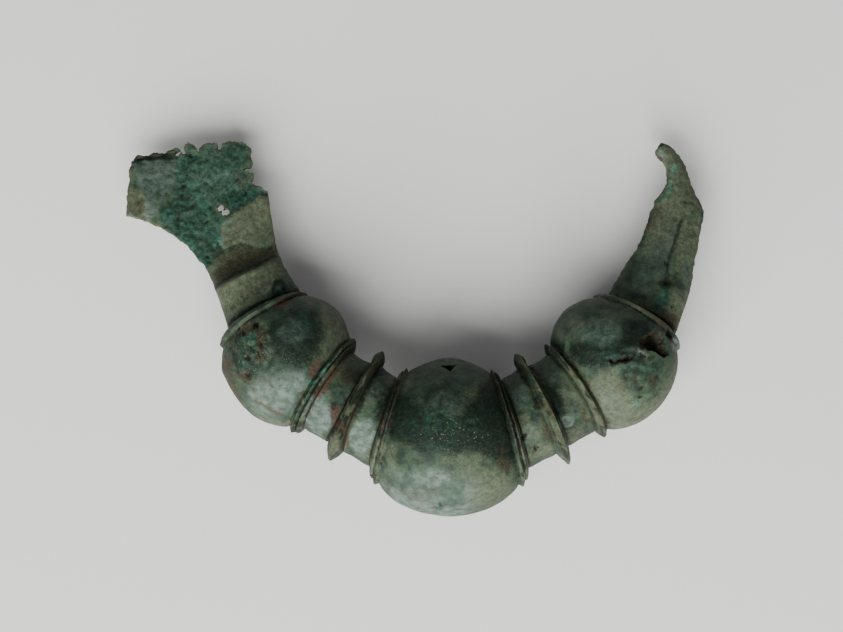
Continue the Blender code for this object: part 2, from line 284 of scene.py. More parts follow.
@dataclass(frozen=True)
class Moulding:
    """One ring round the bow (millimetres): its place, feet, rim, crests and wear."""

    place: float
    width: float
    rim: float
    inner_foot: float
    outer_foot: float
    crests: tuple[Crest, ...]
    wear: float = 0.05

    def share(self, place: np.ndarray) -> np.ndarray:
        """Position across the ring, from -1 at its inner foot to 1 at its outer foot."""
        return (np.abs(place) - abs(self.place)) / (self.width / 2.0)

    def rise(self, place: np.ndarray) -> np.ndarray:
        """Tell how far up to the rim the ring's back stands.

        Args:
            place: Distances along the bow, on this ring's side.

        Returns:
            Shares from 0 at a foot to 1 at the rim.
        """
        share = self.share(place)
        height = np.zeros(len(place))
        for crest in self.crests:
            near = np.clip(1.0 - np.abs(share - crest.at) / crest.reach, 0.0, 1.0)
            height = np.maximum(height, crest.height * near ** crest.power)
        return height


@dataclass
class Bow:
    """The hollow-cast bow with its beads, necks and mouldings."""

    arch: Arch
    steps: int
    spacing: float
    middle_bead_radius: float = 14.7
    middle_bead_end_radius: float = 10.6
    side_bead_radius: float = 12.6
    side_bead_end_radius: float = 9.3
    inner_neck_radius: float = 8.8
    outer_neck_radius: float = 8.5
    neck_waist: float = 0.25
    middle_collar_place: float = 11.3
    collar_width: float = 1.5
    disc_width: float = 1.8
    crevice_depth: float = 0.2
    swell: tuple[float, float] = (0.10, 11.0)
    ripple: tuple[float, float] = (0.05, 4.0)
    ring_drift: tuple[float, float] = (0.10, 9.0)
    nibble_size: float = 2.2
    thick_ring: int = 2
    lobe_turn: float = 8.0
    lobe_spread: float = 30.0
    lobe_widening: float = 0.45
    worn_ring: int = 7
    wear_starts: tuple[float, float] = (30.0, 44.0)
    wear_ends: tuple[float, float] = (110.0, 136.0)
    mouldings: tuple[Moulding, ...] = field(init=False)

    def __post_init__(self) -> None:
        """List the eight rings from the middle outwards, left and right."""
        inner, outer, end = self.inner_neck_radius, self.outer_neck_radius, self.side_bead_end_radius
        first, second = self.middle_bead_end_radius, self.arch.disc_place
        third, fourth = self.arch.inner_collar_place, self.arch.outer_collar_place
        near, wide = self.middle_collar_place, self.disc_width
        slim = self.collar_width
        double = (Crest(-0.45, 1.0, 0.50, 0.60), Crest(0.38, 0.60, 0.60, 0.55))
        crusted = (Crest(0.30, 1.0, 0.62, 0.55), Crest(-0.50, 0.72, 0.48, 0.55))
        blunt = (Crest(0.0, 1.0, 1.0, 0.62),)
        fin = (Crest(0.0, 1.0, 1.0, 1.05),)
        thin = (Crest(-0.10, 1.0, 0.85, 0.80),)
        low = (Crest(-0.20, 0.92, 0.75, 0.70), Crest(0.60, 0.35, 0.35, 0.6))
        self.mouldings = (
            Moulding(-near, slim * 1.25, 11.45, first, inner, double, 0.10),
            Moulding(near, slim * 1.25, 11.45, first, inner, double, 0.08),
            Moulding(-second, wide * 1.05, 11.5, inner, outer, blunt, 0.07),
            Moulding(second, wide * 1.1, 11.5, inner, outer, fin, 0.04),
            Moulding(-third, slim * 1.3, 10.45, outer, end, crusted, 0.12),
            Moulding(third, slim * 1.1, 10.45, outer, end, thin, 0.05),
            Moulding(-fourth, slim * 0.95, 9.65, end, outer, low, 0.10),
            Moulding(fourth, slim, 9.65, end, outer, low, 0.20),
        )

    def bead(self, offset: np.ndarray, half: float, radius: float, end_radius: float) -> np.ndarray:
        """Radius of an ellipsoid bead, offset from its middle and cut off at its end radius."""
        axis_squared = half ** 2 / (1.0 - (end_radius / radius) ** 2)
        return radius * np.sqrt(np.clip(1.0 - offset ** 2 / axis_squared, 0.0, 1.0))

    def neck(self, reach: np.ndarray, start: float, end: float, radius: float) -> np.ndarray:
        """Radius of a neck that is a little narrower in its middle."""
        share = np.clip((reach - start) / (end - start), 0.0, 1.0)
        return radius - self.neck_waist * np.sin(math.pi * share)

    def foot_radius(self, place: np.ndarray) -> np.ndarray:
        """Radius of the bow without its mouldings.

        Args:
            place: Distances along the bow.

        Returns:
            Radii.
        """
        reach = np.abs(place)
        half, disc_half = self.collar_width / 2.0, self.disc_width / 2.0
        marks = [
            self.middle_collar_place - half, self.middle_collar_place + half,
            self.arch.disc_place - disc_half, self.arch.disc_place + disc_half,
            self.arch.inner_collar_place - half, self.arch.inner_collar_place + half,
            self.arch.outer_collar_place - half, self.arch.outer_collar_place + half,
            self.arch.outer_collar_place + half * 1.8, self.arch.outer_collar_place + half * 2.0,
        ]
        radii = [
            self.middle_bead_end_radius, self.inner_neck_radius,
            self.inner_neck_radius, self.outer_neck_radius,
            self.outer_neck_radius, self.side_bead_end_radius,
            self.side_bead_end_radius, self.outer_neck_radius,
            self.outer_neck_radius * 0.6, 0.0,
        ]
        middle = self.bead(reach, marks[0], self.middle_bead_radius, self.middle_bead_end_radius)
        side_half = (marks[6] - marks[5]) / 2.0
        beyond = reach - self.arch.side_bead_place
        side = self.bead(beyond, side_half, self.side_bead_radius, self.side_bead_end_radius)
        first = self.neck(reach, marks[1], marks[2], self.inner_neck_radius)
        second = self.neck(reach, marks[3], marks[4], self.outer_neck_radius)
        stretches = [
            reach <= marks[0],
            (reach > marks[1]) & (reach < marks[2]),
            (reach > marks[3]) & (reach < marks[4]),
            (reach > marks[5]) & (reach < marks[6]),
        ]
        return np.select(stretches, [middle, first, second, side], np.interp(reach, marks, radii))

    def radius(self, place: np.ndarray) -> np.ndarray:
        """Radius of the whole bow with its mouldings and the crevices at their feet.

        Args:
            place: Distances along the bow.

        Returns:
            Radii.
        """
        foot = self.foot_radius(place)
        total = foot.copy()
        for ring in self.mouldings:
            own = np.sign(place) == math.copysign(1.0, ring.place)
            share = ring.share(place)
            total += np.where(own, (ring.rim - foot) * ring.rise(place), 0.0)
            crevice = np.exp(-((np.abs(share) - 1.25) / 0.25) ** 2)
            total -= np.where(own & (np.abs(share) < 2.2), self.crevice_depth * crevice, 0.0)
        return np.maximum(total, 0.0)

    def places(self) -> np.ndarray:
        """Choose the places of the profile's points, closer together on the rings.

        Returns:
            Sorted places from the left end to the right one.
        """
        end = self.arch.outer_collar_place + self.collar_width
        chosen = [np.arange(-end, end, self.spacing)]
        for ring in self.mouldings:
            reach = ring.width / 2.0 + 0.45
            inside = np.abs(chosen[0] - ring.place) < reach
            chosen[0] = chosen[0][~inside]
            low, high = max(-end, ring.place - reach), min(end, ring.place + reach)
            chosen.append(np.arange(low, high, self.spacing * 0.38))
        chosen.append(np.array([end]))
        return np.unique(np.round(np.concatenate(chosen), 3))

    def build(self) -> bpy.types.Mesh:
        """Turn the profile about its axis, wear it, and bend it onto the arch.

        Returns:
            The bow's closed mesh in the arch's plane.
        """
        places = self.places()
        radii = self.radius(places)
        radii[0] = radii[-1] = 0.0
        shape = bmesh.new()
        corners = [shape.verts.new((radius, 0.0, place)) for radius, place in zip(radii, places)]
        for start, end in zip(corners, corners[1:]):
            shape.edges.new((start, end))
        bmesh.ops.spin(
            shape, geom=[*shape.verts, *shape.edges], cent=(0.0, 0.0, 0.0), axis=(0.0, 0.0, 1.0),
            dvec=(0.0, 0.0, 0.0), angle=2.0 * math.pi, steps=self.steps,
            use_merge=True, use_duplicate=False,
        )
        bmesh.ops.remove_doubles(shape, verts=shape.verts, dist=WELD)
        bmesh.ops.recalc_face_normals(shape, faces=shape.faces)
        mesh = to_mesh(shape, "bow")
        set_points(mesh, self.arch.bend(self.worn(vertex_rows(mesh))))
        return mesh

    def worn(self, straight: np.ndarray) -> np.ndarray:
        """Let the beads wander a little from round and nibble the rims of the rings.

        Args:
            straight: Rows of radial, depth and place.

        Returns:
            The rows, moved.
        """
        radial, depth, place = straight.T
        distance = np.hypot(radial, depth)
        swell = lumpy(straight, self.swell, 3) + lumpy(straight, self.ripple, 5)
        turn_points = np.stack([radial, depth, place * 0.15], axis=1)
        drift = lumpy(turn_points, self.ring_drift, 7)
        loss = np.zeros(len(place))
        widening = np.zeros(len(place))
        turn = np.degrees(np.arctan2(-depth, radial))
        for number, ring in enumerate(self.mouldings):
            own = np.sign(place) == math.copysign(1.0, ring.place)
            rise = np.where(own, ring.rise(place), 0.0)
            height = ring.rim - min(ring.inner_foot, ring.outer_foot)
            ragged = np.clip(lumps(turn_points, self.nibble_size, 20 + number) + 0.15, 0.0, 1.0)
            loss += rise * height * ring.wear * (0.4 + 2.0 * ragged)
            if number == self.thick_ring:
                lobe = np.exp(-((turn - self.lobe_turn) / self.lobe_spread) ** 2)
                near = own & (np.abs(ring.share(place)) < 1.6)
                widening += np.where(near, (place - ring.place) * self.lobe_widening * lobe, 0.0)
            if number == self.worn_ring:
                front = smooth_step(turn, *self.wear_starts) * (1.0 - smooth_step(turn, *self.wear_ends))
                loss += rise * height * front
        wanted = np.maximum(distance + swell * np.clip(distance / 6.0, 0.0, 1.0) - loss, 0.0)
        factor = wanted / np.maximum(distance, 1e-6)
        return np.stack([radial * factor, depth * factor, place + drift + widening], axis=1)


@dataclass
class Arm:
    """An arm lofted from its root, hidden in the bead, to its broken end (millimetres).

    Each section gives the outer edge (along, across), the inner edge (along, across), both as
    shares of the arm's length, the thinning, and the fullness, where 2 is an ellipse.
    """

    arch: Arch
    sides: int
    rings: int
    side: int = 1
    length: float = 1.0
    root_thickness: float = 1.0
    end_thickness: float = 1.0
    skew_root: float = 0.0
    skew_tip: float = 0.0
    sections: tuple[tuple[float, ...], ...] = ()
    root_depth: float = 3.0
    root_reach: float = 6.5
    root_rise: float = 4.5

    def spline(self, column: int, position: float) -> float:
        """Read one column of the sections on a smooth curve through its values.

        Args:
            column: The column.
            position: Where to read it, among the listed sections.

        Returns:
            Its value there.
        """
        values = [section[column] for section in self.sections]
        last = len(values) - 1
        index = min(last - 1, int(position))
        share = position - index
        before, start = values[max(0, index - 1)], values[index]
        end, after = values[index + 1], values[min(last, index + 2)]
        bend = 3.0 * (start - end) + after - before
        pull = 2.0 * before - 5.0 * start + 4.0 * end - after
        return 0.5 * (2.0 * start + (end - before) * share + pull * share ** 2 + bend * share ** 3)

    def eased(self, column: int, position: float) -> float:
        """Read one column of the sections without running past any value.

        Args:
            column: The column.
            position: Where to read it, among the listed sections.

        Returns:
            Its value there.
        """
        values = [section[column] for section in self.sections]
        index = min(len(values) - 2, int(position))
        share = float(smooth_step(np.array(position - index), 0.0, 1.0))
        return values[index] + (values[index + 1] - values[index]) * share

    def outline(
        self, outer: tuple[float, float], inner: tuple[float, float],
        half_height: float, fullness: float, skew: float,
    ) -> np.ndarray:
        """Space the points of one closed section evenly round it.

        Args:
            outer: Outer edge as along and across.
            inner: Inner edge as along and across.
            half_height: Half the arm's thickness there.
            fullness: 2 for an ellipse, less for a ridge, more for a slab.
            skew: How far the crest is shifted to the outer edge.

        Returns:
            Rows of along, across and height.
        """
        turn = np.linspace(0.0, 2.0 * math.pi, 1441)
        rise = np.sign(np.sin(turn)) * np.abs(np.sin(turn)) ** (2.0 / fullness)
        spread = np.sign(np.cos(turn)) * np.abs(np.cos(turn)) ** (2.0 / fullness)
        spread = spread + skew * np.abs(rise)
        along = (outer[0] + inner[0]) / 2.0 + (outer[0] - inner[0]) / 2.0 * spread
        across = (outer[1] + inner[1]) / 2.0 + (outer[1] - inner[1]) / 2.0 * spread
        dense = np.stack([along, across, half_height * rise], axis=1)
        steps = np.linalg.norm(np.diff(dense, axis=0), axis=1)
        walked = np.concatenate([[0.0], np.cumsum(steps)])
        wanted = np.linspace(0.0, walked[-1], self.sides + 1)[:-1]
        return np.stack([np.interp(wanted, walked, dense[:, axis]) for axis in range(3)], axis=1)

    def thinned(self, position: float) -> tuple[float, float]:
        """Tell how far the arm has thinned, from 0 to 1, and half its thickness there."""
        thinning = self.eased(4, position)
        return thinning, (self.root_thickness + (self.end_thickness - self.root_thickness) * thinning) / 2.0

    def section(self, position: float) -> np.ndarray:
        """Make one section of the arm.

        Args:
            position: Where it lies among the listed sections.

        Returns:
            Rows of along, across and height.
        """
        edges = [self.spline(column, position) * self.length for column in range(4)]
        thinning, half = self.thinned(position)
        skew = self.skew_root + (self.skew_tip - self.skew_root) * thinning
        return self.outline(tuple(edges[:2]), tuple(edges[2:]), half, self.eased(5, position), skew)

    def positions(self) -> np.ndarray:
        """Space the rings evenly along the arm.

        Returns:
            Positions among the listed sections.
        """
        fine = np.linspace(0.0, len(self.sections) - 1.0, 400)
        edges = np.array([[self.spline(column, place) for column in range(4)] for place in fine])
        outer = np.linalg.norm(np.diff(edges[:, :2], axis=0), axis=1)
        inner = np.linalg.norm(np.diff(edges[:, 2:], axis=0), axis=1)
        walked = np.concatenate([[0.0], np.cumsum(outer + inner)])
        return np.interp(np.linspace(0.0, walked[-1], self.rings), walked, fine)

    def relief(self, local: np.ndarray) -> np.ndarray:
        """Shape an arm's own relief; the plain arm has none."""
        return local

    def build(self) -> bpy.types.Mesh:
        """Roll a grid round the sections, close its seam and cap its ends.

        Returns:
            The arm's closed mesh in the arch's plane.
        """
        outer, inner = (-self.root_depth, self.root_reach), (-self.root_depth, -self.root_reach)
        loft = [self.outline(outer, inner, self.root_rise, 2.0, 0.0)]
        loft += [self.section(position) for position in self.positions()]
        table = np.array(loft)
        table = self.relief(table.reshape(-1, 3)).reshape(table.shape)
        shape = bmesh.new()
        lengthwise = len(loft) - 1
        bmesh.ops.create_grid(shape, x_segments=lengthwise, y_segments=self.sides, size=0.5)
        for vertex in shape.verts:
            ring = round((vertex.co.x + 0.5) * lengthwise)
            corner = round((vertex.co.y + 0.5) * self.sides) % self.sides
            vertex.co = table[ring][corner]
        bmesh.ops.remove_doubles(shape, verts=shape.verts, dist=WELD)
        bmesh.ops.holes_fill(shape, edges=[e for e in shape.edges if e.is_boundary], sides=0)
        bmesh.ops.recalc_face_normals(shape, faces=shape.faces)
        mesh = to_mesh(shape, type(self).__name__)
        set_points(mesh, self.arch.arm_points(self.side, vertex_rows(mesh)))
        shape = bmesh.new()
        shape.from_mesh(mesh)
        bmesh.ops.recalc_face_normals(shape, faces=shape.faces)
        shape.to_mesh(mesh)
        shape.free()
        return mesh


@dataclass
class CatchArm(Arm):
    """The stem that thins to the torn catch plate, on the left."""

    side: int = -1
    length: float = 40.0
    root_thickness: float = 11.4
    end_thickness: float = 1.1
    sections: tuple[tuple[float, ...], ...] = (
        (0.045, 0.155, 0.045, -0.223, 0.00, 2.2),
        (0.148, 0.138, 0.125, -0.214, 0.10, 2.3),
        (0.231, 0.128, 0.200, -0.210, 0.20, 2.4),
        (0.353, 0.121, 0.290, -0.220, 0.95, 3.6),
        (0.410, 0.135, 0.412, -0.257, 0.97, 4.0),
        (0.498, 0.157, 0.516, -0.293, 0.98, 4.0),
        (0.560, 0.184, 0.598, -0.335, 0.99, 4.0),
        (0.608, 0.217, 0.685, -0.345, 1.00, 4.0),
        (0.648, 0.250, 0.800, -0.375, 1.00, 4.0),
        (0.677, 0.272, 0.905, -0.250, 1.00, 4.0),
        (0.707, 0.299, 0.970, -0.115, 1.00, 4.0),
        (0.732, 0.322, 1.000, 0.040, 1.00, 4.0),
        (0.752, 0.350, 1.030, 0.215, 1.00, 4.0),
        (0.775, 0.380, 1.050, 0.250, 1.00, 4.0),
    )
    lip: float = 8.2
    lip_curl: float = 0.012
    cove_across: tuple[float, ...] = (-9.0, -6.3, -3.3, 1.2, 4.7)
    cove_foot: tuple[float, ...] = (12.0, 12.4, 14.4, 15.0, 13.9)
    cove_power: float = 2.3
    stem_taper: float = 0.085
    stem_length: float = 12.0
    plate_starts: tuple[float, float] = (12.0, 17.0)
    crumple: tuple[float, float] = (0.12, 2.4)
    thickness_change: tuple[float, float] = (0.30, 3.2)

    def section(self, position: float) -> np.ndarray:
        """Make a section, with the stem breaking off at its lip in a concave cove.

        Args:
            position: Where it lies among the listed sections.

        Returns:
            Rows of along, across and height.
        """
        ring = super().section(position)
        _, half = self.thinned(position)
        along, across = ring[:, 0], ring[:, 1]
        lip = self.lip + self.lip_curl * (across + 1.0) ** 2
        foot = np.interp(across, self.cove_across, self.cove_foot)
        share = np.clip((along - lip) / (foot - lip), 0.0, 1.0)
        stem = self.root_thickness / 2.0 - self.stem_taper * np.clip(along, 0.0, self.stem_length)
        plate = self.end_thickness / 2.0
        wanted = plate + (stem - plate) * (1.0 - share) ** self.cove_power
        begun = smooth_step(along, lip - 1.5, lip - 0.2)
        ring[:, 2] *= 1.0 + begun * (wanted / half - 1.0)
        return ring

    def relief(self, local: np.ndarray) -> np.ndarray:
        """Crumple the plate gently.

        Args:
            local: Rows of along, across and height.

        Returns:
            The rows, moved.
        """
        along, across, height = local.T
        plate = smooth_step(along, *self.plate_starts)
        flat = np.stack([along, across, np.zeros(len(along))], axis=1)
        rolling = 0.34 * lumps(flat, 8.0, 31, 2) + lumpy(flat, self.crumple, 33)
        thickness = 1.0 + lumpy(flat, self.thickness_change, 35)
        height = height * (1.0 - plate * (1.0 - thickness)) + plate * rolling
        return np.stack([along, across, height], axis=1)


@dataclass
class PinArm(Arm):
    """The ridged arm that narrows to its torn, curled tongue, on the right."""

    length: float = 33.5
    root_thickness: float = 9.6
    end_thickness: float = 1.7
    skew_root: float = 0.34
    tongue_starts: tuple[float, float] = (20.0, 26.0)
    edge_nibble: tuple[float, float] = (0.16, 1.2)
    sections: tuple[tuple[float, ...], ...] = (
        (0.045, 0.210, 0.055, -0.217, 0.00, 2.0),
        (0.181, 0.199, 0.110, -0.211, 0.15, 1.7),
        (0.304, 0.182, 0.225, -0.206, 0.28, 1.4),
        (0.445, 0.138, 0.330, -0.195, 0.42, 1.25),
        (0.561, 0.107, 0.425, -0.191, 0.54, 1.2),
        (0.645, 0.078, 0.525, -0.203, 0.64, 1.2),
        (0.733, 0.054, 0.604, -0.217, 0.72, 1.2),
        (0.783, 0.011, 0.681, -0.223, 0.79, 1.25),
        (0.815, -0.043, 0.760, -0.212, 0.85, 1.3),
        (0.864, -0.092, 0.822, -0.223, 0.91, 1.5),
        (0.917, -0.143, 0.872, -0.255, 0.96, 1.8),
        (0.966, -0.205, 0.899, -0.293, 1.00, 2.0),
        (1.004, -0.300, 0.918, -0.347, 1.00, 2.0),
        (0.996, -0.341, 0.956, -0.353, 1.00, 2.0),
    )

    def relief(self, local: np.ndarray) -> np.ndarray:
        """Roughen the tongue's broken edges.

        Args:
            local: Rows of along, across and height.

        Returns:
            The rows, moved.
        """
        along, across, height = local.T
        flat = np.stack([along, across, np.zeros(len(along))], axis=1)
        tongue = smooth_step(along, *self.tongue_starts)
        ragged = lumpy(flat, self.edge_nibble, 41)
        lift = tongue * 0.20 * lumps(flat, 6.0, 43, 2)
        return np.stack([along, across + tongue * ragged, height + lift], axis=1)


def move_onto_bead(
    shape: bmesh.types.BMesh, centre: Vector, facing: Vector, radius: float, turn: float
) -> None:
    """Carry a cutter from the origin to the surface of a bead.

    Args:
        shape: The cutter, whose own upright axis then faces outwards.
        centre: The bead's middle.
        facing: Direction from there to the cutter, of length 1.
        radius: The bead's radius.
        turn: Turn about that direction, in degrees.
    """
    turned = facing.to_track_quat("Z", "X").to_matrix().to_4x4()
    place = Matrix.Translation(centre + facing * radius) @ turned
    spun = Matrix.Rotation(math.radians(turn), 4, "Z")
    bmesh.ops.transform(shape, matrix=place @ spun, verts=shape.verts)


@dataclass(frozen=True)
class Pocket:
    """A broken hollow in a bead: a ragged lens sunk into its surface (millimetres, degrees)."""

    name: str
    bead_place: float
    bead_radius: float
    direction: tuple[float, float, float]
    length: float
    width: float
    depth: float
    turn: float
    points: int
    raggedness: float
    corner: float
    roughness: float = 0.10

    def build(self, arch: Arch) -> bpy.types.Mesh:
        """Make the cutter.

        Args:
            arch: The arch that carries the bead.

        Returns:
            A closed mesh in the arch's plane.
        """
        centre = Vector(arch.bend(np.array([[0.0, 0.0, self.bead_place]]))[0])
        facing = Vector(self.direction).normalized()
        shape = bmesh.new()
        bmesh.ops.create_icosphere(shape, subdivisions=5, radius=1.0)
        for vertex in shape.verts:
            turn = math.atan2(vertex.co.y, vertex.co.x)
            ragged = 1.0 + self.raggedness * math.sin(self.points * turn + self.corner)
            rough = self.roughness * noise.fractal(vertex.co * 3.0, 0.8, LACUNARITY, 3)
            vertex.co.x *= (ragged + rough) * self.length / 2.0
            vertex.co.y *= (ragged + rough) * self.width / 2.0
            vertex.co.z *= self.depth * (1.0 + rough)
        move_onto_bead(shape, centre, facing, self.bead_radius, self.turn)
        return to_mesh(shape, self.name)


@dataclass(frozen=True)
class Tear:
    """A ragged bite out of the plate, placed on the catch arm (millimetres)."""

    along: float
    across: float
    radius: float
    stretch: float = 1.0
    turn: float = 0.0

    def build(self, arch: Arch, number: int) -> bpy.types.Mesh:
        """Make the cutter.

        Args:
            arch: The arch that carries the arm.
            number: Tells this tear's cutter from the others.

        Returns:
            A closed mesh in the arch's plane.
        """
        centre = Vector(arch.arm_points(-1, np.array([[self.along, self.across, 0.0]]))[0])
        shape = bmesh.new()
        bmesh.ops.create_cone(
            shape, cap_ends=True, segments=26, radius1=self.radius, radius2=self.radius, depth=6.0
        )
        for vertex in shape.verts:
            direction = vertex.co.xy.normalized()
            around = Vector((direction.x * 1.6, direction.y * 1.6, number * 3.7))
            wave = 1.0 + 0.28 * noise.fractal(around, 0.8, LACUNARITY, 3)
            vertex.co.x *= wave * self.stretch
            vertex.co.y *= wave
        turned = Matrix.Rotation(math.radians(self.turn), 4, "Z")
        bmesh.ops.transform(shape, matrix=Matrix.Translation(centre) @ turned, verts=shape.verts)
        return to_mesh(shape, f"tear_{number}")


@dataclass(frozen=True)
class TornEdge:
    """The torn end of the plate: all that lies beyond a ragged line is lost (millimetres)."""

    line: tuple[tuple[float, float], ...]
    beyond: tuple[tuple[float, float], ...]
    step: float = 0.38
    raggedness: float = 0.16
    thickness: float = 8.0

    def ragged(self) -> list[tuple[float, float]]:
        """Divide the line finely and let it wander.

        Returns:
            Its corners as along and across.
        """
        points = []
        for start, end in zip(self.line, self.line[1:]):
            first, last = Vector(start), Vector(end)
            count = max(1, round((last - first).length / self.step))
            points += [first.lerp(last, index / count) for index in range(count)]
        moved = []
        for point in (*points, Vector(self.line[-1])):
            place = Vector((point.x / 0.9, point.y / 0.9, 4.7))
            shift = Vector((noise.noise(place), noise.noise(place + Vector((9.0, 5.0, 0.0)))))
            moved.append(tuple(point + shift * self.raggedness * 1.6))
        return moved

    def build(self, arch: Arch) -> bpy.types.Mesh:
        """Make the cutter.

        Args:
            arch: The arch that carries the arm.

        Returns:
            A closed mesh in the arch's plane.
        """
        outline = [*self.ragged(), *self.beyond]
        low = -self.thickness / 2.0
        local = np.array([(along, across, low) for along, across in outline])
        shape = bmesh.new()
        face = shape.faces.new([shape.verts.new(point) for point in arch.arm_points(-1, local)])
        grown = bmesh.ops.extrude_face_region(shape, geom=[face])["geom"]
        upper = [part for part in grown if isinstance(part, bmesh.types.BMVert)]
        bmesh.ops.translate(shape, verts=upper, vec=(0.0, 0.0, self.thickness))
        bmesh.ops.triangulate(shape, faces=shape.faces)
        bmesh.ops.recalc_face_normals(shape, faces=shape.faces)
        return to_mesh(shape, "torn_edge")


@dataclass(frozen=True)
class Mark:
    """An oval place on the upper surface, seen from above (millimetres, degrees).

    Its amount is how strongly a film covers it, or how deep a dent is, which is a lump where
    that is negative.
    """

    x: float
    y: float
    along: float
    across: float
    amount: float
    turn: float = 0.0

    def reach(self, x: np.ndarray, y: np.ndarray) -> tuple[np.ndarray, np.ndarray]:
        """Measure places from the mark's middle, along it and across it.

        Args:
            x: Places to the east.
            y: Places to the north.

        Returns:
            Distances as shares of the mark's own, 1 at its border.
        """
        turn = math.radians(self.turn)
        east, north = x - self.x, y - self.y
        along = (east * math.cos(turn) + north * math.sin(turn)) / self.along
        return along, (north * math.cos(turn) - east * math.sin(turn)) / self.across


def line_distance(
    flat: np.ndarray, points: tuple[tuple[float, float], ...]
) -> tuple[np.ndarray, np.ndarray]:
    """Measure how far places seen from above are from a line, and on which side they lie.

    Args:
        flat: Rows of x and y.
        points: The line's corners.

    Returns:
        Distances, and 1 where a place is on the line's right and -1 on its left.
    """
    nearest = np.full(len(flat), 1e9)
    sides = np.ones(len(flat))
    for start, end in zip(points, points[1:]):
        first, step = np.array(start), np.array(end) - np.array(start)
        offset = flat - first
        share = np.clip(offset @ step / (step @ step), 0.0, 1.0)
        gap = np.linalg.norm(offset - np.outer(share, step), axis=1)
        side = np.sign(offset[:, 0] * step[1] - offset[:, 1] * step[0])
        sides = np.where(gap < nearest, side, sides)
        nearest = np.minimum(nearest, gap)
    return nearest, sides


def lay(amounts: dict["Film", np.ndarray], film: "Film", cover: np.ndarray) -> None:
    """Raise a film's amount to a cover, wherever less of it lies there."""
    amounts[film] = np.maximum(amounts[film], cover)


def inside_outline(flat: np.ndarray, points: tuple[tuple[float, float], ...]) -> np.ndarray:
    """Measure how far places seen from above lie inside a closed outline.

    Args:
        flat: Rows of x and y.
        points: The outline's corners.

    Returns:
        Distances from the outline, negative outside it.
    """
    inside = np.zeros(len(flat), bool)
    x, y = flat.T
    for (x0, y0), (x1, y1) in zip(points, (*points[1:], points[0])):
        crosses = (y0 > y) != (y1 > y)
        inside ^= crosses & (x < (x1 - x0) * (y - y0) / (y1 - y0 if y1 != y0 else 1.0) + x0)
    gap, _ = line_distance(flat, (*points, points[0]))
    return np.where(inside, gap, -gap)


@dataclass(frozen=True)
class Groove:
    """A crease or scratch in the upper surface, from point to point seen from above.

    A ledge is a step down on the right of the line, which fades away from it.
    """

    points: tuple[tuple[float, float], ...]
    width: float
    depth: float
    ledge: float = 0.0
    fade: float = 3.0


class Film(Enum):
    """The films and crusts of the patina, from the lowest to the top one, with painted shade in hollows and
    crevices and a painted highlight on worn edges.
    """

    OLIVE = "olive_film"
    PALE = "pale_film"
    DARK = "dark_film"
    SLATE = "slate_film"
    EMERALD = "emerald_crust"
    TURQUOISE = "turquoise_crust"
    CUPRITE = "cuprite_stain"
    EARTH = "earth_stain"
    # Painted shade in hollows, holes and pits.
    SHADE_IN_HOLLOWS = "hollow_shade"
    ROUGH = "rough_crust"
    SPECKLE = "speckle"
    # Painted shade in crevices.
    SHADE_IN_CREVICES = "crevice_shade"
    # Pale convex edges: partly wear, partly a painted highlight.
    WORN_AND_HIGHLIT_EDGE = "rubbed_and_highlit_edge"


def marks(film: Film, *rows: tuple[float, ...]) -> list[tuple[Film, Mark]]:
    """Pair each row's mark with the film that covers it."""
    return [(film, Mark(*row)) for row in rows]


@dataclass(frozen=True)
class Patch:
    """A film bounded by an outline seen from above (millimetres), standing up by its rise."""

    film: Film
    outline: tuple[tuple[float, float], ...]
    soft: float = 1.3
    strength: float = 1.0
    rise: float = 0.0


@dataclass(frozen=True)
class Streak:
    """A narrow stain along a line seen from above (millimetres)."""

    film: Film
    points: tuple[tuple[float, float], ...]
    width: float
    strength: float = 1.0


# The malachite crust of the plate, and the broad facet of the ridged arm.
PLATE_CRUST = (
    (-46.4, 18.6), (-46.2, 24.0), (-45.4, 35.6), (-42.0, 38.4), (-31.6, 38.4), (-28.2, 33.0),
    (-29.4, 28.6), (-26.6, 26.6), (-33.0, 22.8), (-36.4, 20.0), (-37.0, 14.5), (-39.0, 10.5),
    (-42.4, 13.6), (-44.6, 16.0),
)
ARM_FACET = (
    (51.4, 23.4), (54.2, 21.6), (53.4, 15.0), (52.4, 9.0), (51.2, 8.4), (48.8, 10.4), (49.4, 14.5),
    (50.8, 18.5),
)

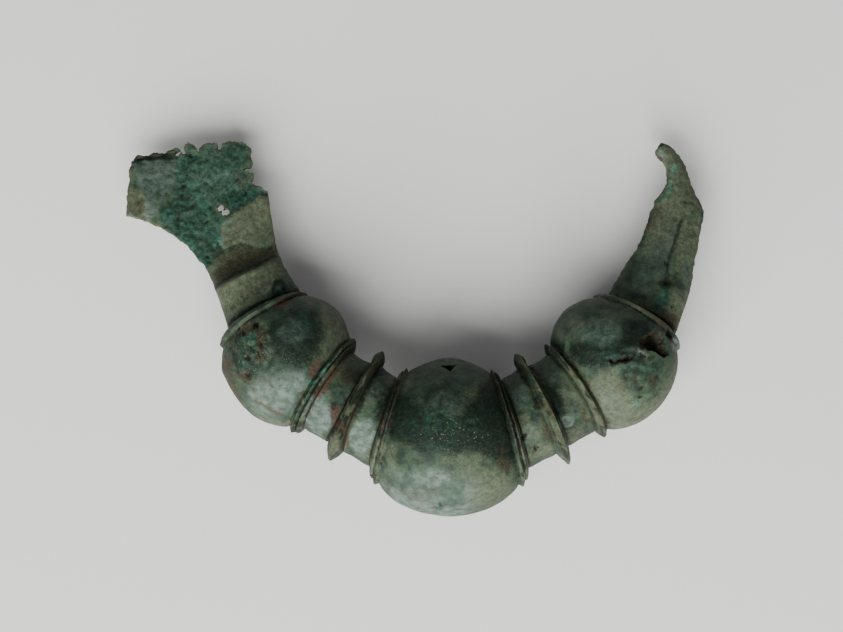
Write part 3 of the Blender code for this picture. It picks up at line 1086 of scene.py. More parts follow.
PATCHES = (
    # Middle bead
    Patch(Film.DARK, (
        (-4.5, -12.0), (0.0, -15.0), (3.6, -17.2), (8.6, -17.4), (11.5, -13.0), (14.2, -9.6),
        (17.2, -12.0), (18.5, -18.0), (18.6, -24.5), (17.0, -28.0), (14.4, -25.0), (11.0, -23.6),
        (7.0, -24.4), (3.0, -23.8), (-1.0, -22.8), (-4.0, -21.6), (-6.5, -19.5), (-6.0, -15.0),
    ), 2.2, 1.05),
    Patch(Film.PALE, (
        (-6.5, -24.6), (-1.0, -27.0), (4.0, -28.0), (9.5, -27.4), (13.6, -28.4), (14.6, -30.5),
        (12.0, -34.0), (6.0, -37.0), (0.0, -35.6), (-4.5, -30.5),
    ), 3.4, 0.50),
    # Along the bottom rim, which faces the lamp, this pale film is partly painted light.
    Patch(Film.PALE, (
        (-6.5, -28.6), (0.0, -32.0), (6.0, -33.4), (13.0, -32.0), (6.0, -38.0), (-2.0, -36.0),
    ), 1.8, 0.85),
    Patch(Film.OLIVE, ((10.6, -27.4), (18.2, -26.0), (17.6, -31.6), (12.6, -34.6), (9.0, -32.6)), 2.2, 0.9),
    Patch(Film.DARK, (
        (-1.0, -31.6), (4.0, -33.2), (10.0, -32.6), (10.0, -34.0), (4.0, -34.6), (-1.0, -33.0),
    ), 1.2, 0.35),
    # Left bead
    Patch(Film.DARK, (
        (-26.6, -0.4), (-22.4, 2.8), (-18.0, 1.6), (-16.4, -2.0), (-16.8, -6.0), (-19.6, -8.4),
        (-24.0, -8.2), (-27.0, -5.0),
    ), 1.8, 0.80),
    Patch(Film.ROUGH, (
        (-33.8, -1.2), (-29.2, 0.6), (-26.2, -1.4), (-25.6, -6.0), (-27.2, -9.6), (-30.4, -12.4),
        (-33.2, -9.8), (-34.8, -5.2),
    ), 1.0, 1.2),
    Patch(Film.OLIVE, (
        (-34.0, -0.8), (-29.2, 0.8), (-26.0, -1.2), (-25.8, -6.0), (-27.4, -9.8), (-30.4, -12.2),
        (-33.2, -9.8), (-34.8, -5.2),
    ), 1.0, 0.6),
    Patch(Film.DARK, (
        (-34.0, -2.2), (-29.2, -0.4), (-26.0, -1.8), (-25.8, -6.0), (-27.4, -9.4), (-30.4, -11.6),
        (-33.2, -9.8), (-34.8, -5.2),
    ), 1.0, 0.62),
    Patch(Film.EARTH, (
        (-35.4, -5.0), (-34.0, -6.2), (-33.2, -10.0), (-32.0, -13.2), (-31.8, -16.4), (-34.4, -14.6),
        (-36.6, -10.0),
    ), 0.8, 0.8),
    Patch(Film.PALE, (
        (-31.2, -11.6), (-28.0, -10.2), (-24.5, -9.6), (-20.4, -9.0), (-18.4, -10.8), (-20.2, -14.2),
        (-23.0, -17.0), (-27.0, -18.0), (-30.6, -15.6),
    ), 2.2, 0.72),
    Patch(Film.OLIVE, (
        (-30.5, -16.4), (-24.0, -18.0), (-19.8, -17.0), (-20.5, -21.5), (-27.0, -21.5),
    ), 0.9, 0.8),
    Patch(Film.OLIVE, ((-17.6, 3.6), (-14.0, 2.6), (-11.4, -2.6), (-13.0, -6.6), (-16.2, -3.6)), 1.0, 0.9),
    # Left neck
    Patch(Film.PALE, (
        (-19.6, -14.4), (-17.0, -13.2), (-15.4, -15.4), (-15.2, -19.4), (-17.6, -21.0), (-20.4, -17.6),
    ), 0.9, 1.2),
    # Right bead
    Patch(Film.DARK, (
        (28.6, -3.6), (33.6, -4.0), (37.4, -3.0), (39.6, 0.2), (43.2, 0.9), (44.0, -1.6), (41.0, -4.2),
        (40.2, -7.0), (36.0, -8.0), (31.6, -8.2), (28.4, -6.4),
    ), 1.5, 1.0),
    Patch(Film.EMERALD, (
        (37.6, -8.2), (41.2, -6.8), (45.6, -7.4), (46.4, -10.2), (44.6, -13.2), (41.6, -13.8),
        (40.0, -11.4), (38.0, -10.2),
    ), 1.4, 0.40),
    Patch(Film.ROUGH, (
        (37.2, -5.0), (41.4, -4.4), (45.6, -7.0), (46.4, -10.2), (44.6, -13.2), (41.6, -13.8),
        (39.6, -11.8), (37.4, -10.2),
    ), 0.8, 1.0),
    Patch(Film.DARK, ((42.0, -7.6), (45.4, -7.8), (46.0, -10.6), (44.0, -12.8), (42.2, -11.0)), 1.2, 0.55),
    Patch(Film.OLIVE, (
        (30.5, -11.0), (34.0, -9.6), (37.5, -10.4), (40.0, -13.6), (43.2, -14.6), (46.4, -11.0),
        (49.6, -6.4), (50.8, -9.0), (47.4, -15.4), (42.4, -19.6), (36.6, -20.4), (32.6, -17.6),
    ), 1.2, 0.9),
    Patch(Film.PALE, (
        (31.5, -12.0), (36.5, -11.4), (39.0, -13.6), (43.0, -16.0), (42.0, -20.0), (36.6, -20.4),
        (33.0, -17.6),
    ), 2.0, 0.34),
    Patch(Film.EARTH, (
        (44.6, 1.4), (46.6, 3.2), (49.4, 1.6), (49.6, -1.6), (47.2, -1.0), (45.6, -0.6),
    ), 0.6, 0.9),
    # Ridged arm
    Patch(Film.OLIVE, (
        (42.6, 14.0), (44.6, 20.0), (46.6, 25.0), (47.2, 29.0), (45.0, 32.6), (45.4, 36.6), (50.0, 36.0),
        (52.6, 28.0), (55.2, 22.4), (51.6, 19.0), (49.0, 13.6),
    ), 1.3, 0.85),
    Patch(Film.OLIVE, ARM_FACET, 0.6, 1.2),
    Patch(Film.PALE, (
        (50.8, 17.0), (53.2, 17.0), (52.6, 9.2), (51.0, 8.6), (48.8, 10.6), (49.6, 14.0),
    ), 0.9, 0.2),
    Patch(Film.DARK, ARM_FACET, 1.2, 0.30),
    Patch(Film.OLIVE, ((48.4, 6.6), (51.6, 7.0), (51.4, 1.4), (49.6, -0.6), (46.6, 2.4)), 0.8, 0.9),
    Patch(Film.DARK, ((46.6, 9.6), (48.0, 9.2), (48.6, 7.6), (46.6, 6.4), (45.2, 7.6)), 0.8, 0.85),
    # Catch plate
    Patch(Film.EMERALD, PLATE_CRUST, 0.8, 0.76),
    Patch(Film.DARK, PLATE_CRUST, 0.8, 0.36),
    Patch(Film.OLIVE, (
        (-46.2, 24.0), (-45.2, 34.2), (-42.0, 36.4), (-33.0, 36.4), (-30.0, 32.0), (-31.4, 28.0),
        (-33.0, 22.8), (-38.4, 22.0),
    ), 1.2, 0.65),
    Patch(Film.OLIVE, (
        (-29.7, 25.0), (-28.0, 24.6), (-26.4, 17.2), (-26.2, 15.9), (-28.4, 15.0), (-32.7, 15.9),
        (-36.2, 15.0), (-36.9, 16.8), (-35.7, 20.7), (-32.2, 22.8),
    ), 0.35, 1.5, 0.22),
    Patch(Film.PALE, ((-40.8, 31.0), (-35.0, 31.2), (-34.4, 26.8), (-38.0, 26.2), (-41.2, 26.6)), 0.9, 0.85),
    Patch(Film.OLIVE, ((-39.6, 31.6), (-34.6, 30.6), (-34.8, 28.0), (-38.4, 27.6)), 0.9, 0.7),
    Patch(Film.DARK, (
        (-37.3, 24.9), (-34.9, 26.3), (-32.2, 26.5), (-31.6, 24.0), (-34.9, 21.6),
    ), 0.5, 0.75, -0.16),
    Patch(Film.SLATE, (
        (-54.0, 31.2), (-50.0, 32.0), (-45.4, 31.4), (-45.8, 28.0), (-48.2, 23.8), (-50.6, 23.2),
        (-52.6, 26.5),
    ), 0.9, 0.95, 0.10),
    Patch(Film.OLIVE, ((-55.2, 27.0), (-52.2, 26.2), (-50.4, 22.8), (-50.0, 19.2), (-55.6, 20.0)), 0.7, 1.1),
    Patch(Film.DARK, ((-54.8, 33.6), (-44.0, 34.4), (-44.4, 32.2), (-49.6, 31.6), (-54.6, 30.2)), 0.6, 0.85),
    Patch(Film.ROUGH, ((-54.8, 33.6), (-44.0, 34.4), (-44.4, 32.0), (-49.6, 31.4), (-54.6, 30.0)), 0.6, 1.0),
    Patch(Film.ROUGH, PLATE_CRUST, 0.8, 0.55),
    # Cove and stem
    Patch(Film.OLIVE, (
        (-40.4, 9.0), (-36.8, 13.4), (-32.6, 15.2), (-28.8, 14.2), (-26.2, 15.2), (-25.4, 12.6),
        (-30.6, 10.8), (-37.8, 7.0),
    ), 0.7, 0.7),
    Patch(Film.EARTH, (
        (-38.8, 8.4), (-36.9, 13.4), (-32.6, 15.2), (-28.8, 14.4), (-26.0, 15.4), (-25.6, 12.6),
        (-30.6, 10.8), (-37.8, 7.0),
    ), 0.9, 0.55),
    Patch(Film.DARK, (
        (-38.4, 8.0), (-36.6, 11.6), (-32.6, 13.2), (-28.8, 12.4), (-26.0, 13.4), (-26.0, 12.4),
        (-30.6, 10.8),
    ), 0.9, 0.50),
    Patch(Film.OLIVE, (
        (-38.0, 6.2), (-33.6, 9.4), (-28.6, 10.6), (-25.8, 12.2), (-24.2, 9.6), (-27.6, 5.4),
        (-31.6, 3.2), (-36.4, 0.4),
    ), 0.7, 0.95),
    Patch(Film.DARK, (
        (-36.4, 3.4), (-30.6, 6.6), (-26.4, 9.6), (-24.0, 9.0), (-27.6, 5.0), (-36.4, 0.0),
    ), 1.6, 0.40),
)

# Lines that are both stained and sunk; the dark stain in the bead's crack is painted shade.
PLATE_FOLD = ((-43.2, 33.0), (-44.1, 28.0), (-44.8, 23.6), (-45.2, 19.6))
PLATE_CREASE = ((-39.6, 20.6), (-38.2, 14.8))
BEAD_CRACK = ((35.6, -7.0), (36.6, -7.6), (37.4, -7.0), (38.3, -7.1), (39.9, -6.5))
STREAKS = (
    # Left bead and its collars
    Streak(Film.CUPRITE, (
        (-29.6, -12.2), (-29.0, -14.0), (-27.5, -15.4), (-26.1, -16.6), (-24.7, -16.8),
    ), 0.42, 0.75),
    Streak(Film.EARTH, ((-26.6, -10.8), (-26.0, -12.6)), 0.40, 0.8),
    Streak(Film.EARTH, ((-31.8, -1.4), (-28.4, -0.6)), 0.65, 0.9),
    Streak(Film.EARTH, ((-27.8, -1.6), (-28.2, -4.6), (-28.0, -7.4)), 0.60, 0.9),
    Streak(Film.EARTH, ((-30.6, -4.6), (-30.2, -7.6)), 0.50, 0.9),
    Streak(Film.EARTH, ((-25.6, 2.6), (-22.4, 5.6), (-19.4, 6.2)), 0.55, 0.9),
    Streak(Film.EMERALD, ((-34.2, 0.0), (-30.6, 2.0), (-27.0, 4.0), (-24.6, 5.4)), 0.70, 1.0),
    Streak(Film.DARK, ((-33.6, 0.6), (-30.2, 2.6), (-27.0, 4.6)), 0.45, 0.8),
    Streak(Film.CUPRITE, ((-17.0, -6.6), (-18.6, -9.8)), 0.75, 0.85),
    Streak(Film.CUPRITE, ((-12.8, -6.4), (-14.8, -9.6), (-16.6, -12.6), (-17.6, -13.6)), 0.62, 0.9),
    Streak(Film.EMERALD, ((-14.4, -5.6), (-16.0, -8.6), (-18.6, -12.4), (-21.4, -17.6)), 0.55, 1.0),
    Streak(Film.DARK, ((-10.8, -2.6), (-12.6, -5.6), (-14.4, -7.4)), 0.90, 0.95),
    # Left necks and disc
    Streak(Film.CUPRITE, ((-14.6, -15.8), (-14.2, -18.6)), 0.75, 1.0),
    Streak(Film.CUPRITE, ((-12.9, -19.2), (-12.2, -22.8)), 0.45, 0.9),
    Streak(Film.DARK, ((-6.9, -7.0), (-8.6, -12.0), (-10.8, -17.0)), 0.95, 1.1),
    Streak(Film.EARTH, ((-10.4, -16.0), (-12.6, -22.0)), 0.80, 0.7),
    # Right bead
    Streak(Film.PALE, ((38.6, -5.2), (39.8, -4.8), (41.0, -5.6), (42.6, -6.0)), 0.60, 0.8),
    Streak(Film.EMERALD, ((37.4, -9.0), (39.6, -8.2)), 0.80, 0.7),
    # Painted shade in the crack.
    Streak(Film.SHADE_IN_HOLLOWS, BEAD_CRACK, 0.26, 1.3),
    Streak(Film.EARTH, ((40.2, -8.6), (40.5, -10.6)), 0.50, 0.6),
    Streak(Film.EARTH, ((39.6, -10.2), (40.4, -11.6)), 0.45, 0.6),
    Streak(Film.CUPRITE, ((44.0, 2.2), (44.8, 0.6), (45.4, -0.8)), 0.34, 0.8),
    Streak(Film.EARTH, ((33.0, 5.6), (37.0, 4.6), (39.4, 3.4)), 0.45, 0.5),
    # Right collar of the middle bead, and the disc beside it
    Streak(Film.PALE, ((14.6, -8.8), (17.0, -15.0), (19.0, -22.0), (20.6, -29.4)), 0.32, 0.8),
    Streak(Film.DARK, ((19.8, -6.6), (21.2, -10.4), (23.0, -15.0)), 0.95, 1.1),
    # Ridged arm
    Streak(Film.DARK, ((50.2, 20.2), (49.0, 16.4), (47.8, 13.0), (47.2, 9.6)), 0.55, 0.8),
    Streak(Film.SLATE, ((48.6, 19.0), (47.0, 14.0), (45.8, 10.0)), 1.5, 0.7),
    Streak(Film.TURQUOISE, ((49.2, 30.8), (48.7, 28.4), (48.4, 26.3), (47.0, 23.8)), 0.50, 0.7),
    Streak(Film.EARTH, ((46.6, 32.6), (47.1, 29.6), (46.3, 26.4), (44.6, 24.4)), 0.50, 1.0),
    Streak(Film.DARK, ((45.2, 32.6), (45.9, 34.6), (47.2, 35.4)), 0.34, 1.0),
    # Catch plate
    Streak(Film.DARK, PLATE_FOLD, 0.85, 0.8),
    Streak(Film.EARTH, ((-31.0, 34.2), (-30.9, 31.6)), 0.35, 0.9),
    Streak(Film.EARTH, ((-33.6, 28.4), (-33.4, 26.4)), 0.45, 0.8),
    Streak(Film.EARTH, ((-40.6, 17.6), (-40.0, 15.4)), 0.45, 0.7),
    Streak(Film.DARK, PLATE_CREASE, 0.40, 0.6),
    # Cove
    # Painted shade along the cove.
    Streak(Film.SHADE_IN_HOLLOWS, ((-37.4, 7.0), (-34.4, 9.6), (-30.4, 11.0), (-26.2, 13.2)), 0.60, 0.55),
)

SPOTS = (
    # Middle bead
    *marks(Film.SLATE, (6.4, -10.9, 8.0, 2.2, 0.45), (5.8, -15.2, 3.0, 2.2, 0.60)),
    *marks(Film.DARK, (6.2, -14.0, 6.0, 4.0, 0.55)),
    *marks(Film.PALE, (4.0, -28.6, 5.6, 2.4, 0.75)),
    *marks(Film.OLIVE, (-2.4, -10.6, 2.6, 2.6, 0.8, 20.0)),
    *marks(Film.EARTH, (14.2, -10.6, 0.9, 2.4, 0.6, 15.0), (16.2, -25.0, 1.2, 3.0, 0.6, 10.0)),
    *marks(Film.SPECKLE, (7.0, -20.6, 7.5, 3.0, 1.5), (9.0, -25.4, 6.0, 3.0, 1.0, -20.0),
           (4.0, -29.0, 10.0, 5.0, 0.5), (12.0, -26.5, 5.0, 4.0, 0.9, 20.0)),
    *marks(Film.EMERALD, (3.0, -22.6, 4.6, 1.6, 0.35), (4.6, -33.9, 0.8, 0.6, 0.9),
           (5.0, -19.0, 9.0, 3.4, 0.40)),
    # Painted shade in a pit.
    *marks(Film.SHADE_IN_HOLLOWS, (4.8, -33.4, 0.5, 0.4, 0.7)),
    # Upper tips of the discs and collars
    *marks(Film.DARK, (-6.8, -7.8, 1.6, 2.8, 1.2, -20.0), (20.0, -7.8, 1.6, 2.8, 1.2, 20.0),
           (26.2, -4.6, 1.4, 2.4, 1.1, 30.0)),
    # Left bead
    *marks(Film.EMERALD, (-30.2, -3.0, 2.2, 1.5, 1.0, 20.0), (-31.4, -7.4, 1.6, 2.2, 0.7, 20.0),
           (-28.4, -8.6, 2.4, 1.2, 0.6, 10.0), (-29.6, -5.6, 3.0, 3.6, 0.5),
           (-20.2, 0.4, 1.6, 3.0, 0.55, 20.0)),
    # Painted shade in pits.
    *marks(Film.SHADE_IN_HOLLOWS, (-31.8, -1.7, 0.7, 0.4, 0.9, 10.0), (-28.9, -0.6, 0.5, 0.5, 0.9),
           (-30.3, -6.8, 0.4, 0.6, 0.8)),
    *marks(Film.PALE, (-27.1, -5.0, 0.6, 0.5, 0.6)),
    *marks(Film.SPECKLE, (-29.8, -5.4, 3.6, 5.0, 1.6), (-22.0, -7.8, 5.6, 3.0, 0.9)),
    *marks(Film.EARTH, (-31.0, -9.8, 1.8, 1.2, 0.7, -20.0)),
    *marks(Film.SLATE, (-22.3, -2.2, 3.2, 3.4, 0.7)),
    *marks(Film.CUPRITE, (-24.0, 3.6, 1.0, 0.7, 1.1, 25.0)),
    *marks(Film.TURQUOISE, (-15.9, -8.6, 0.4, 0.5, 1.1), (-18.4, -11.8, 0.5, 0.5, 1.0)),
    # Left necks and disc
    *marks(Film.EARTH, (-12.6, -9.6, 1.6, 2.4, 0.7, -30.0), (-7.8, -9.0, 1.4, 1.4, 0.6)),
    # Painted shade in a pit.
    *marks(Film.SHADE_IN_HOLLOWS, (-14.9, -15.2, 0.5, 0.5, 1.0)),
    *marks(Film.SPECKLE, (-17.4, -16.6, 2.6, 3.4, 0.9), (-8.6, -19.0, 2.4, 3.6, 0.7)),
    *marks(Film.PALE, (-9.2, -21.0, 2.3, 3.4, 1.3, -20.0)),
    *marks(Film.CUPRITE, (-9.9, -20.9, 0.3, 0.35, 1.1)),
    *marks(Film.SLATE, (-6.9, -12.9, 1.5, 2.4, 0.9, -20.0)),
    *marks(Film.DARK, (-5.2, -17.0, 1.4, 2.8, 0.9, -10.0)),
    # Right necks and disc
    *marks(Film.PALE, (21.2, -20.6, 1.8, 2.0, 0.6, 20.0), (28.2, -17.9, 1.5, 1.1, 1.0, 20.0)),
    *marks(Film.EARTH, (24.2, -19.8, 0.8, 2.4, 0.8, 18.0), (31.4, -17.0, 0.8, 2.8, 0.9, 28.0)),
    *marks(Film.SLATE, (19.2, -14.0, 1.8, 2.6, 0.9, 15.0), (25.6, -10.0, 1.6, 1.8, 0.7, 20.0)),
    *marks(Film.OLIVE, (22.6, -23.8, 3.4, 1.8, 0.9, 20.0), (28.6, -20.8, 3.0, 1.6, 0.8, 25.0)),
    *marks(Film.DARK, (26.2, -14.6, 1.6, 3.6, 0.9, 25.0)),
    # Painted shade in pits.
    *marks(Film.SHADE_IN_HOLLOWS, (20.2, -21.2, 0.30, 0.30, 1.1), (22.3, -23.1, 0.30, 0.40, 1.1)),
    # Right bead
    *marks(Film.SLATE, (34.4, -1.6, 3.6, 2.8, 0.9)),
    *marks(Film.OLIVE, (29.8, -0.4, 2.2, 2.2, 0.6, 40.0), (40.6, 3.4, 3.0, 1.4, 0.7, -10.0)),
    *marks(Film.SPECKLE, (34.0, -9.0, 6.0, 3.6, 0.9), (40.0, -12.0, 5.0, 5.0, 0.8)),
    # Painted shade in pits.
    *marks(Film.SHADE_IN_HOLLOWS, (41.6, -6.0, 0.45, 0.40, 1.1), (41.2, -4.3, 0.80, 0.50, 0.9),
           (41.4, -13.4, 0.35, 0.35, 0.9), (47.4, -1.9, 0.8, 0.7, 1.0, -30.0)),
    *marks(Film.TURQUOISE, (40.4, -14.8, 0.8, 0.75, 0.95)),
    *marks(Film.EARTH, (43.8, -10.6, 1.2, 1.4, 0.6, 20.0), (37.8, -11.8, 1.6, 1.0, 0.5, 20.0)),
    *marks(Film.CUPRITE, (45.2, -5.2, 0.9, 0.7, 0.7, -30.0)),
    *marks(Film.EMERALD, (38.2, -8.8, 1.6, 1.0, 0.6), (36.0, -6.2, 3.0, 1.6, 0.4)),
    *marks(Film.PALE, (48.8, -3.7, 1.4, 1.6, 1.1)),
    # Ridged arm
    *marks(Film.SLATE, (43.8, 12.0, 2.4, 5.0, 0.6, -28.0), (51.0, 10.4, 1.3, 2.6, 0.7, -8.0),
           (42.4, 7.4, 2.2, 2.4, 0.7)),
    *marks(Film.OLIVE, (48.0, 33.6, 1.4, 2.2, 1.1, 20.0), (46.4, 20.6, 1.8, 3.0, 0.7, -18.0),
           (51.7, 23.4, 0.8, 0.8, 1.1)),
    *marks(Film.SPECKLE, (44.0, 7.0, 3.4, 3.4, 0.7), (51.4, 14.0, 2.2, 7.0, 0.9, -8.0)),
    *marks(Film.CUPRITE, (44.8, 19.2, 0.5, 0.9, 0.8, -18.0)),
    *marks(Film.EARTH, (45.8, 22.2, 0.6, 1.0, 0.8, -18.0)),
    *marks(Film.EMERALD, (46.4, 5.2, 1.6, 1.7, 1.0)),
    # Painted shade in pits.
    *marks(Film.SHADE_IN_HOLLOWS, (47.0, 8.3, 0.45, 0.45, 1.1), (47.4, 11.8, 0.30, 0.40, 1.0),
           (48.4, 3.9, 0.25, 0.45, 0.9)),
    *marks(Film.PALE, (46.8, 33.2, 0.8, 1.2, 0.7, 20.0)),
    # Catch plate
    *marks(Film.TURQUOISE, (-42.4, 26.8, 1.5, 1.1, 0.5), (-40.4, 23.4, 2.6, 2.2, 0.35, -20.0),
           (-35.9, 19.7, 0.6, 1.1, 0.6, -30.0), (-37.2, 16.6, 0.6, 1.8, 0.5, -20.0),
           (-29.4, 26.1, 1.2, 0.5, 0.6, -20.0), (-44.7, 30.0, 0.5, 1.1, 0.5)),
    *marks(Film.EMERALD, (-47.4, 21.2, 1.4, 2.4, 1.0)),
    *marks(Film.PALE, (-50.0, 22.0, 1.4, 1.5, 0.7), (-36.7, 16.4, 0.5, 0.7, 1.1)),
    *marks(Film.EARTH, (-52.6, 22.8, 1.4, 1.9, 0.6, 20.0), (-33.0, 28.6, 1.4, 1.0, 0.5)),
    *marks(Film.CUPRITE, (-31.1, 29.0, 0.7, 0.8, 1.1)),
    *marks(Film.SPECKLE, (-38.0, 24.0, 7.0, 9.0, 0.7)),
    # Stem
    *marks(Film.EARTH, (-29.6, 6.8, 2.2, 1.4, 0.5, 28.0), (-38.4, 8.4, 1.0, 1.8, 0.5)),
    *marks(Film.PALE, (-27.8, 6.4, 1.6, 1.4, 0.5, 25.0)),
    *marks(Film.DARK, (-25.4, 7.0, 1.4, 1.3, 1.1, -30.0)),
    *marks(Film.EMERALD, (-25.4, 6.8, 1.0, 0.9, 0.7, -30.0)),
    *marks(Film.ROUGH, (-25.4, 7.0, 1.5, 1.3, 1.2, -30.0)),
    *marks(Film.SPECKLE, (-31.6, 6.4, 4.4, 3.0, 0.7, 25.0)),
)

DENTS = tuple(Mark(*row) for row in (
    (3.6, -34.2, 1.6, 1.0, 0.45), (1.8, -33.8, 1.2, 0.8, -0.30), (-31.8, -1.7, 0.8, 0.5, 0.40, 10.0),
    (-28.9, -0.6, 0.6, 0.6, 0.35), (-30.3, -6.8, 0.6, 0.9, 0.35), (-30.2, -3.0, 1.6, 1.1, -0.35),
    (-32.0, -8.0, 1.2, 1.6, -0.30), (-34.8, -13.4, 2.4, 2.6, 0.15, 40.0),
    (-35.8, -8.6, 0.8, 1.4, -0.30), (20.2, -21.2, 0.35, 0.35, 0.35), (22.3, -23.1, 0.35, 0.50, 0.40),
    (-14.5, -16.6, 0.7, 1.6, 0.25, -10.0), (47.0, 8.3, 0.6, 0.55, 0.60), (47.4, 11.8, 0.4, 0.5, 0.35),
    (48.4, 3.9, 0.35, 0.6, 0.25), (39.6, -4.8, 1.2, 0.7, -0.35, -20.0), (38.4, -8.6, 1.2, 0.8, -0.25),
    (41.6, -6.0, 0.5, 0.5, 0.45), (47.4, -1.9, 0.9, 0.8, 0.60, -30.0), (-25.4, 7.0, 1.2, 1.0, -0.18),
    (-6.7, -6.4, 1.0, 1.3, -0.55), (-11.4, -3.2, 1.6, 1.4, -0.50), (-17.4, -25.2, 1.2, 1.0, -0.40),
    (19.7, -6.5, 1.0, 1.3, -0.55), (52.8, 19.0, 0.5, 0.9, 0.22), (51.5, 24.0, 0.5, 0.6, 0.20),
))

GROOVES = (
    Groove(((47.3, 9.0), (48.0, 13.0), (49.2, 16.4), (50.4, 20.0), (51.3, 23.6)), 0.34, 0.13, -0.40, 2.4),
    Groove(((47.6, 9.8), (49.8, 8.9), (52.0, 7.2)), 0.32, 0.16),
    Groove(PLATE_FOLD, 0.85, 0.30),
    Groove(PLATE_CREASE, 0.50, 0.16),
    Groove(((9.3, -19.3), (11.5, -16.8), (10.8, -16.1), (9.3, -14.4)), 0.20, -0.05),
    Groove(BEAD_CRACK, 0.24, 0.70),
    Groove(((-26.6, 2.2), (-23.0, 4.6)), 0.45, 0.18),
)


@dataclass(frozen=True)
class Drift:
    """A film that lies here and there on the whole casting, where its noise runs high.

    It lies everywhere with one strength, and with another one besides on the underside.
    """

    film: Film
    size: float
    seed: int
    low: float
    high: float
    everywhere: float
    below: float


DRIFTS = (
    Drift(Film.PALE, 7.0, 61, 0.0, 0.5, 0.0, 0.8),
    Drift(Film.DARK, 6.0, 63, 0.1, 0.6, 0.0, 0.7),
    Drift(Film.EMERALD, 5.0, 65, 0.25, 0.7, 0.35, 0.4),
    Drift(Film.OLIVE, 6.0, 67, -0.1, 0.5, 0.55, 0.0),
    Drift(Film.CUPRITE, 3.0, 69, 0.35, 0.7, 0.3, 0.3),
    Drift(Film.SPECKLE, 5.0, 71, 0.0, 0.5, 0.3, 0.0),
)


@dataclass(frozen=True)
class Layer:
    """One film of the patina: its two tones, its grain and how ragged its border is."""

    film: Film
    tones: tuple[str, str]
    grain: float
    ragged: float
    cover: float
    peppered: float = 0.9


